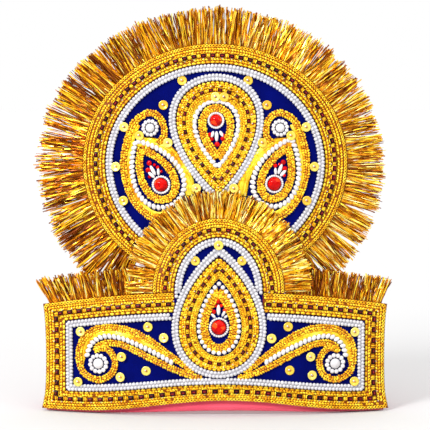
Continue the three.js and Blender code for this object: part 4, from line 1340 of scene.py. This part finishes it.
# A thin disc with a raised rim, cupped towards its middle
def sequinPiece():
    clearSelection()
    bpy.ops.mesh.primitive_cylinder_add(vertices=20, radius=0.001 * sequinParts["radius"],
                                        depth=0.001 * sequinParts["thick"], end_fill_type="NGON")
    piece = started("sequin")
    pickFaces(piece, lambda polygon: polygon.normal.z > 0.9)
    for width, rise in sequinParts["steps"]:
        bpy.ops.mesh.inset(thickness=0.001 * width)
        bpy.ops.transform.translate(value=(0, 0, 0.001 * rise))
    bpy.ops.object.mode_set(mode="OBJECT")
    return smooth(piece)


sequin = coat(sequinPiece(), goldSequin)
# The white bead sits up and to the left of each sequin's middle, a painted highlight
sequinBead = coat(ballPiece("sequinBead", sequinParts["bead"], (1, 1, 0.9)), riceWhite)
sequinKnot = coat(ballPiece("sequinKnot", sequinParts["knot"]), seedBrown)
discSide = [(24.8, 253.9), (39, 235.4), (68.8, 218.8), (57.3, 212.4), (35.6, 207.1), (75.2, 188.7), (69.5, 163),
            (14.2, 172.8)]
discTop = [(0.2, 241.8), (6.8, 241.6)]
wing = {"left": [(104.9, 63), (53.2, 67.8), (41.2, 60), (73.4, 44.8), (54.7, 34.2), (74.4, 29.2), (107, 24.3)],
        "right": [(104.2, 62.6), (53, 68), (40.4, 59.5), (70.2, 44.8), (54.3, 34.6), (71.4, 30.6), (104, 24.6)]}
# those that lie on a row instead of on the velvet, and the one that is duller
raised = {*discSide[2:], *discTop, (0, 130.5), *wing["left"], *wing["right"]} - {
    (53.2, 67.8), (53, 68), (54.7, 34.2), (54.3, 34.6)}
duller, dullTint = (39, 235.4), -0.8


def laySequins(node, points, centre, sign, level):
    name, tip, seats, heads, knots = pieceName(node), sequinParts["tip"], [], [], []
    tints = [dullTint if point == duller else random.random() for point in points]
    for point in points:
        low = level + (layer["onRow"] - sequinParts["pressed"] if point in raised else row)
        x, v = centre + sign * point[0], point[1]
        tipped = (Matrix.Rotation(random.uniform(-tip, tip), 4, "X")
                  @ Matrix.Rotation(random.uniform(-tip, tip), 4, "Y"))
        dish, knot, head = (seat(x + dx, v + dv, low + up) for dx, dv, up in sequinParts["at"])
        seats.append(dish @ tipped)
        knots.append(knot)
        heads.append(head)
    parts = [copiesOf(sequin, seats, name, tints), copiesOf(sequinBead, heads, name + "Beads"),
             copiesOf(sequinKnot, knots, name + "Knots")]
    finishPiece(joined(name, parts), "gold_sequin", node)


for side, sign in (("left", -1), ("right", 1)):
    laySequins("disc_sequins_" + side, discSide, 0, sign, discDepth)
    laySequins("band_sequins_" + side, wing[side], scroll["x"], sign, 0)
laySequins("disc_sequins_top", discTop, 0, 1, discDepth)
laySequins("arch_sequins", [(-17.6, 118.5), (0, 130.5), (17.6, 118.5)], arch["x"], 1, 0)
putAway(pearl, rice, roundPearl, plait, ringPearl, bigPearl, seed, redBead, petal, cabochon, sequin, sequinBead,
        sequinKnot)
print("crown: sequins sewn")

# Fringes of twisted gold tinsel

fringe = {"radius": 0.5336, "flat": 0.42, "length": 30.0, "cuts": 7, "twist": (60, 300), "sway": 0.9,
          "waves": (0.25, 0.3), "kinds": 6,
          # how far apart the strands are, in layers, and how far each one strays from its root
          "pitch": 0.5, "loose": 1.02, "layers": 3, "layerStep": 0.6, "outStep": 0.02, "scatter": 0.25,
          "aside": 0.0003, "behind": (-0.0016, -0.0002),
          # a tuft's width, and how it gathers, leans and varies in length
          "tuft": 8.0, "tuftSizes": (0.5, 1.6), "fewest": 4, "gather": 0.8, "gathers": (0.4, 1.3),
          "tuftLean": 0.07, "tuftLengths": (0.92, 1.02), "rounded": 0.12,
          # and the same for each strand in it
          "lean": 0.055, "out": 0.035, "lengths": (0.9, 1.03), "brokenShare": 0.07, "broken": (0.6, 0.9),
          # the length at even steps round the disc, on the arch and on the band, how far out each root
          # lies, its tone (the disc's is browner on the left), and how far the band's two ends fan
          "disc": [37, 38.5, 38, 34, 29.2, 29, 28.6, 29.5, 32, 33, 32], "arch": 22.5, "band": 21.5,
          "depths": (-1.5, -0.6, -2.4), "tones": (-0.17, 0.08, -0.11), "brownUntil": (0.3, 0.5),
          "ends": (0.4, 0.22), "endInset": 2.5}


# One strand, three-sided, flattened and twisted, running along Y from its root
def strandPiece(k):
    clearSelection()
    long = 0.001 * fringe["length"]
    bpy.ops.mesh.primitive_cylinder_add(vertices=3, radius=0.001 * fringe["radius"], depth=long,
                                        rotation=(math.pi / 2, 0, 0), location=(0, long / 2, 0))
    piece = placeApplied(started(f"strand{k}"))
    inEdit(piece, lambda: bpy.ops.transform.resize(value=(1, 1, fringe["flat"])))
    for at in np.linspace(0, long, fringe["cuts"] + 2)[1:-1]:
        inEdit(piece, lambda: bpy.ops.mesh.bisect(plane_co=(0, at, 0), plane_no=(0, 1, 0)))
    applyModifier(piece, "SIMPLE_DEFORM", deform_method="TWIST", deform_axis="Y",
                  angle=math.radians(random.uniform(*fringe["twist"])) * random.choice((-1, 1)))
    sway, phase = random.uniform(-fringe["sway"], fringe["sway"]), random.uniform(0, 6)
    aside, out = fringe["waves"]
    for vertex in piece.data.vertices:
        share = vertex.co.y / long
        vertex.co.x += 0.001 * (sway * share ** 2 + aside * math.sin(phase + 5 * share) * share)
        vertex.co.z += 0.001 * out * math.sin(phase * 2 + 4 * share) * share
    for corner, loop in zip(piece.data.uv_layers[0].data, piece.data.loops):
        spot = piece.data.vertices[loop.vertex_index].co
        corner.uv = (spot.y / long, spot.x * 100)
    return coat(smooth(piece, False), fringeGold)


strands = [strandPiece(k) for k in range(fringe["kinds"])]


# Strands along a root line, gathered into tufts; reach(share) is their length, tone(share) makes
# them yellower or browner and fan(share) adds a lean
def layFringe(node, root, reach, depth, tone, fan=lambda share: 0.0):
    name, s, span = pieceName(node), fringe, random.uniform
    seats, tints = [[] for strand in strands], [[] for strand in strands]
    for level in range(s["layers"]):
        places = walk(root, s["pitch"] * s["loose"])
        ahead, start = 1 - level, 0
        while start < len(places):
            count = max(s["fewest"], int(span(*s["tuftSizes"]) * s["tuft"] / s["pitch"]))
            lean, tall = random.gauss(0, s["tuftLean"]), span(*s["tuftLengths"])
            far = reach(start / len(places))
            gather = s["gather"] * span(*s["gathers"]) * count * s["pitch"] / far
            for k in range(start, min(start + count, len(places))):
                x, v, turn = places[k]
                spot = (k - start) / count - 0.5
                share = k / len(places)
                angle = lean + spot * gather + random.gauss(0, s["lean"]) + fan(share)
                long = far * tall * span(*s["lengths"]) * (1 - s["rounded"] * abs(spot))
                if random.random() < s["brokenShare"]:
                    long *= span(*s["broken"])
                out = random.gauss(0, s["out"]) + ahead * s["outStep"]
                kind = random.randrange(len(strands))
                seats[kind].append(
                    seat(x, v, depth + ahead * s["layerStep"] + span(-s["scatter"], s["scatter"]), turn)
                    @ Matrix.Translation((span(-s["aside"], s["aside"]), span(*s["behind"]), 0))
                    @ Matrix.Rotation(angle, 4, "Z") @ Matrix.Rotation(out, 4, "X")
                    @ Matrix.Rotation(span(0, 6.28), 4, "Y") @ Matrix.Diagonal((1, long / s["length"], 1, 1)))
                tints[kind].append(random.random() + tone(share))
            start += count
    parts = [copiesOf(strand, seats[k], f"{name}{k}", tints[k]) for k, strand in enumerate(strands)]
    finishPiece(joined(name, parts), "gold_fringe", node)


discRoot, archRoot, bandRoot = fringe["depths"]
discTone, archTone, bandTone = fringe["tones"]
layFringe("disc_fringe", discLine(gap, -54, 234)[::-1],
          lambda share: np.interp(share * 10, range(11), fringe["disc"]), discDepth + discRoot,
          lambda share: np.interp(share, fringe["brownUntil"], (discTone, 0)))
layFringe("arch_fringe", archLine(*archOut(gap), 0)[::-1], lambda share: fringe["arch"], archRoot,
          lambda share: archTone)
for side, sign in (("left", -1), ("right", 1)):
    start, end = band["halfWidth"] - fringe["endInset"], arch["halfWidth"] + gap + sign * arch["x"]
    x = np.sort(sign * np.linspace(start, end, 60))
    fan = (lambda share: fringe["ends"][0] * (1 - share) ** 3) if sign < 0 else (
        lambda share: -fringe["ends"][1] * share ** 3)
    layFringe("band_fringe_" + side, np.stack([x, bandTop(-gap, x)], 1), lambda share: fringe["band"], bandRoot,
              lambda share: bandTone, fan)
putAway(*strands)
print("crown: fringes hung")

# Camera, pale floor and studio light

studio = {"distance": 1.6, "elevation": 5.0, "span": 0.3262, "sensor": 36, "aim": (-0.0001, -0.03, 0.1519),
          "floor": (0.52, 0.58), "floorSize": 12, "lampAim": Vector((0, 0, 0.15)),
          "sun": {"from": Vector((-0.6, -0.75, 0.6)), "angle": 18, "strength": 1.75},
          "lamps": [((-0.8, -1.3, 0.9), 0.22, 9), ((1.1, -1.2, 0.9), 0.3, 3)],
          "room": {"towards": Vector((-0.2, -0.9, 0.4)), "zenith": 2.1, "front": 0.75, "side": 0.45,
                   "back": 0.3}}
tilt = math.radians(studio["elevation"])
back = Vector((0, -math.cos(tilt), math.sin(tilt))) * studio["distance"]
bpy.ops.object.camera_add(location=Vector(studio["aim"]) + back, rotation=(math.pi / 2 - tilt, 0, 0))
eye = started("camera")
eye.data.lens = studio["sensor"] * studio["distance"] / studio["span"]
bpy.context.scene.camera = eye

bpy.ops.mesh.primitive_plane_add(size=studio["floorSize"], location=(0, 0, -0.0002))
floor = placeApplied(started("floor"))
floorWhite, tree, shader = newMaterial("floorWhite", {"Roughness": 0.9, "Specular IOR Level": 0.1})
# The floor is paler further from the crown, a painted brightening against its darker shade towards the horizon
away = addNode(tree, "ShaderNodeVectorMath", {0: objectPlace(tree)}, operation="LENGTH").outputs["Value"]
near, far = studio["floor"]
paint(tree, shader, maths(tree, "MULTIPLY", away, 0.25), [(0.1, (near,) * 3), (0.8, (far,) * 3)])
coat(floor, floorWhite)
floor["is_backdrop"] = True


def aimedLamp(kind, place, **settings):
    bpy.ops.object.light_add(type=kind, location=place)
    lamp = bpy.context.object
    for key, value in settings.items():
        setattr(lamp.data, key, value)
    lamp.rotation_euler = (studio["lampAim"] - lamp.location).to_track_quat("-Z", "Y").to_euler()


sun = studio["sun"]
aimedLamp("SUN", sun["from"] + studio["lampAim"], angle=math.radians(sun["angle"]), energy=sun["strength"])
for place, size, watts in studio["lamps"]:
    aimedLamp("AREA", place, size=size, energy=watts)

# A pale room, brightest in front and overhead, that shows as white behind the crown
room = studio["room"]
world = bpy.data.worlds.new("studio")
bpy.context.scene.world = world
world.use_nodes = True
tree = world.node_tree
tree.nodes.clear()
way = addNode(tree, "ShaderNodeTexCoord").outputs["Generated"]
facing = addNode(tree, "ShaderNodeVectorMath", {0: way, 1: room["towards"].normalized()},
                 operation="DOT_PRODUCT").outputs["Value"]
ramp = colours(tree, maths(tree, "MULTIPLY_ADD", facing, 0.5, 0.5),
               [(0.45, (room["back"],) * 3), (0.7, (room["side"],) * 3), (0.84, (room["front"],) * 3)])
height = maths(tree, "MAXIMUM", addNode(tree, "ShaderNodeSeparateXYZ", {0: way}).outputs["Z"], 0.0)
above = maths(tree, "MULTIPLY", maths(tree, "POWER", height, 2.0), room["zenith"])
white = (1, 1, 1, 1)
glow, shown = (addNode(tree, "ShaderNodeBackground", {"Color": white, "Strength": strength}).outputs[0]
               for strength in (maths(tree, "ADD", ramp, above), 1.0))
seen = addNode(tree, "ShaderNodeLightPath").outputs["Is Camera Ray"]
both = addNode(tree, "ShaderNodeMixShader", {0: seen, 1: glow, 2: shown}).outputs[0]
addNode(tree, "ShaderNodeOutputWorld", {"Surface": both})
bpy.context.scene.view_settings.view_transform = "Standard"
print("crown: studio lit")

low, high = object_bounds()
{"cad": [list(cadLow), list(cadHigh)], "visual": [list(low), list(high)]}
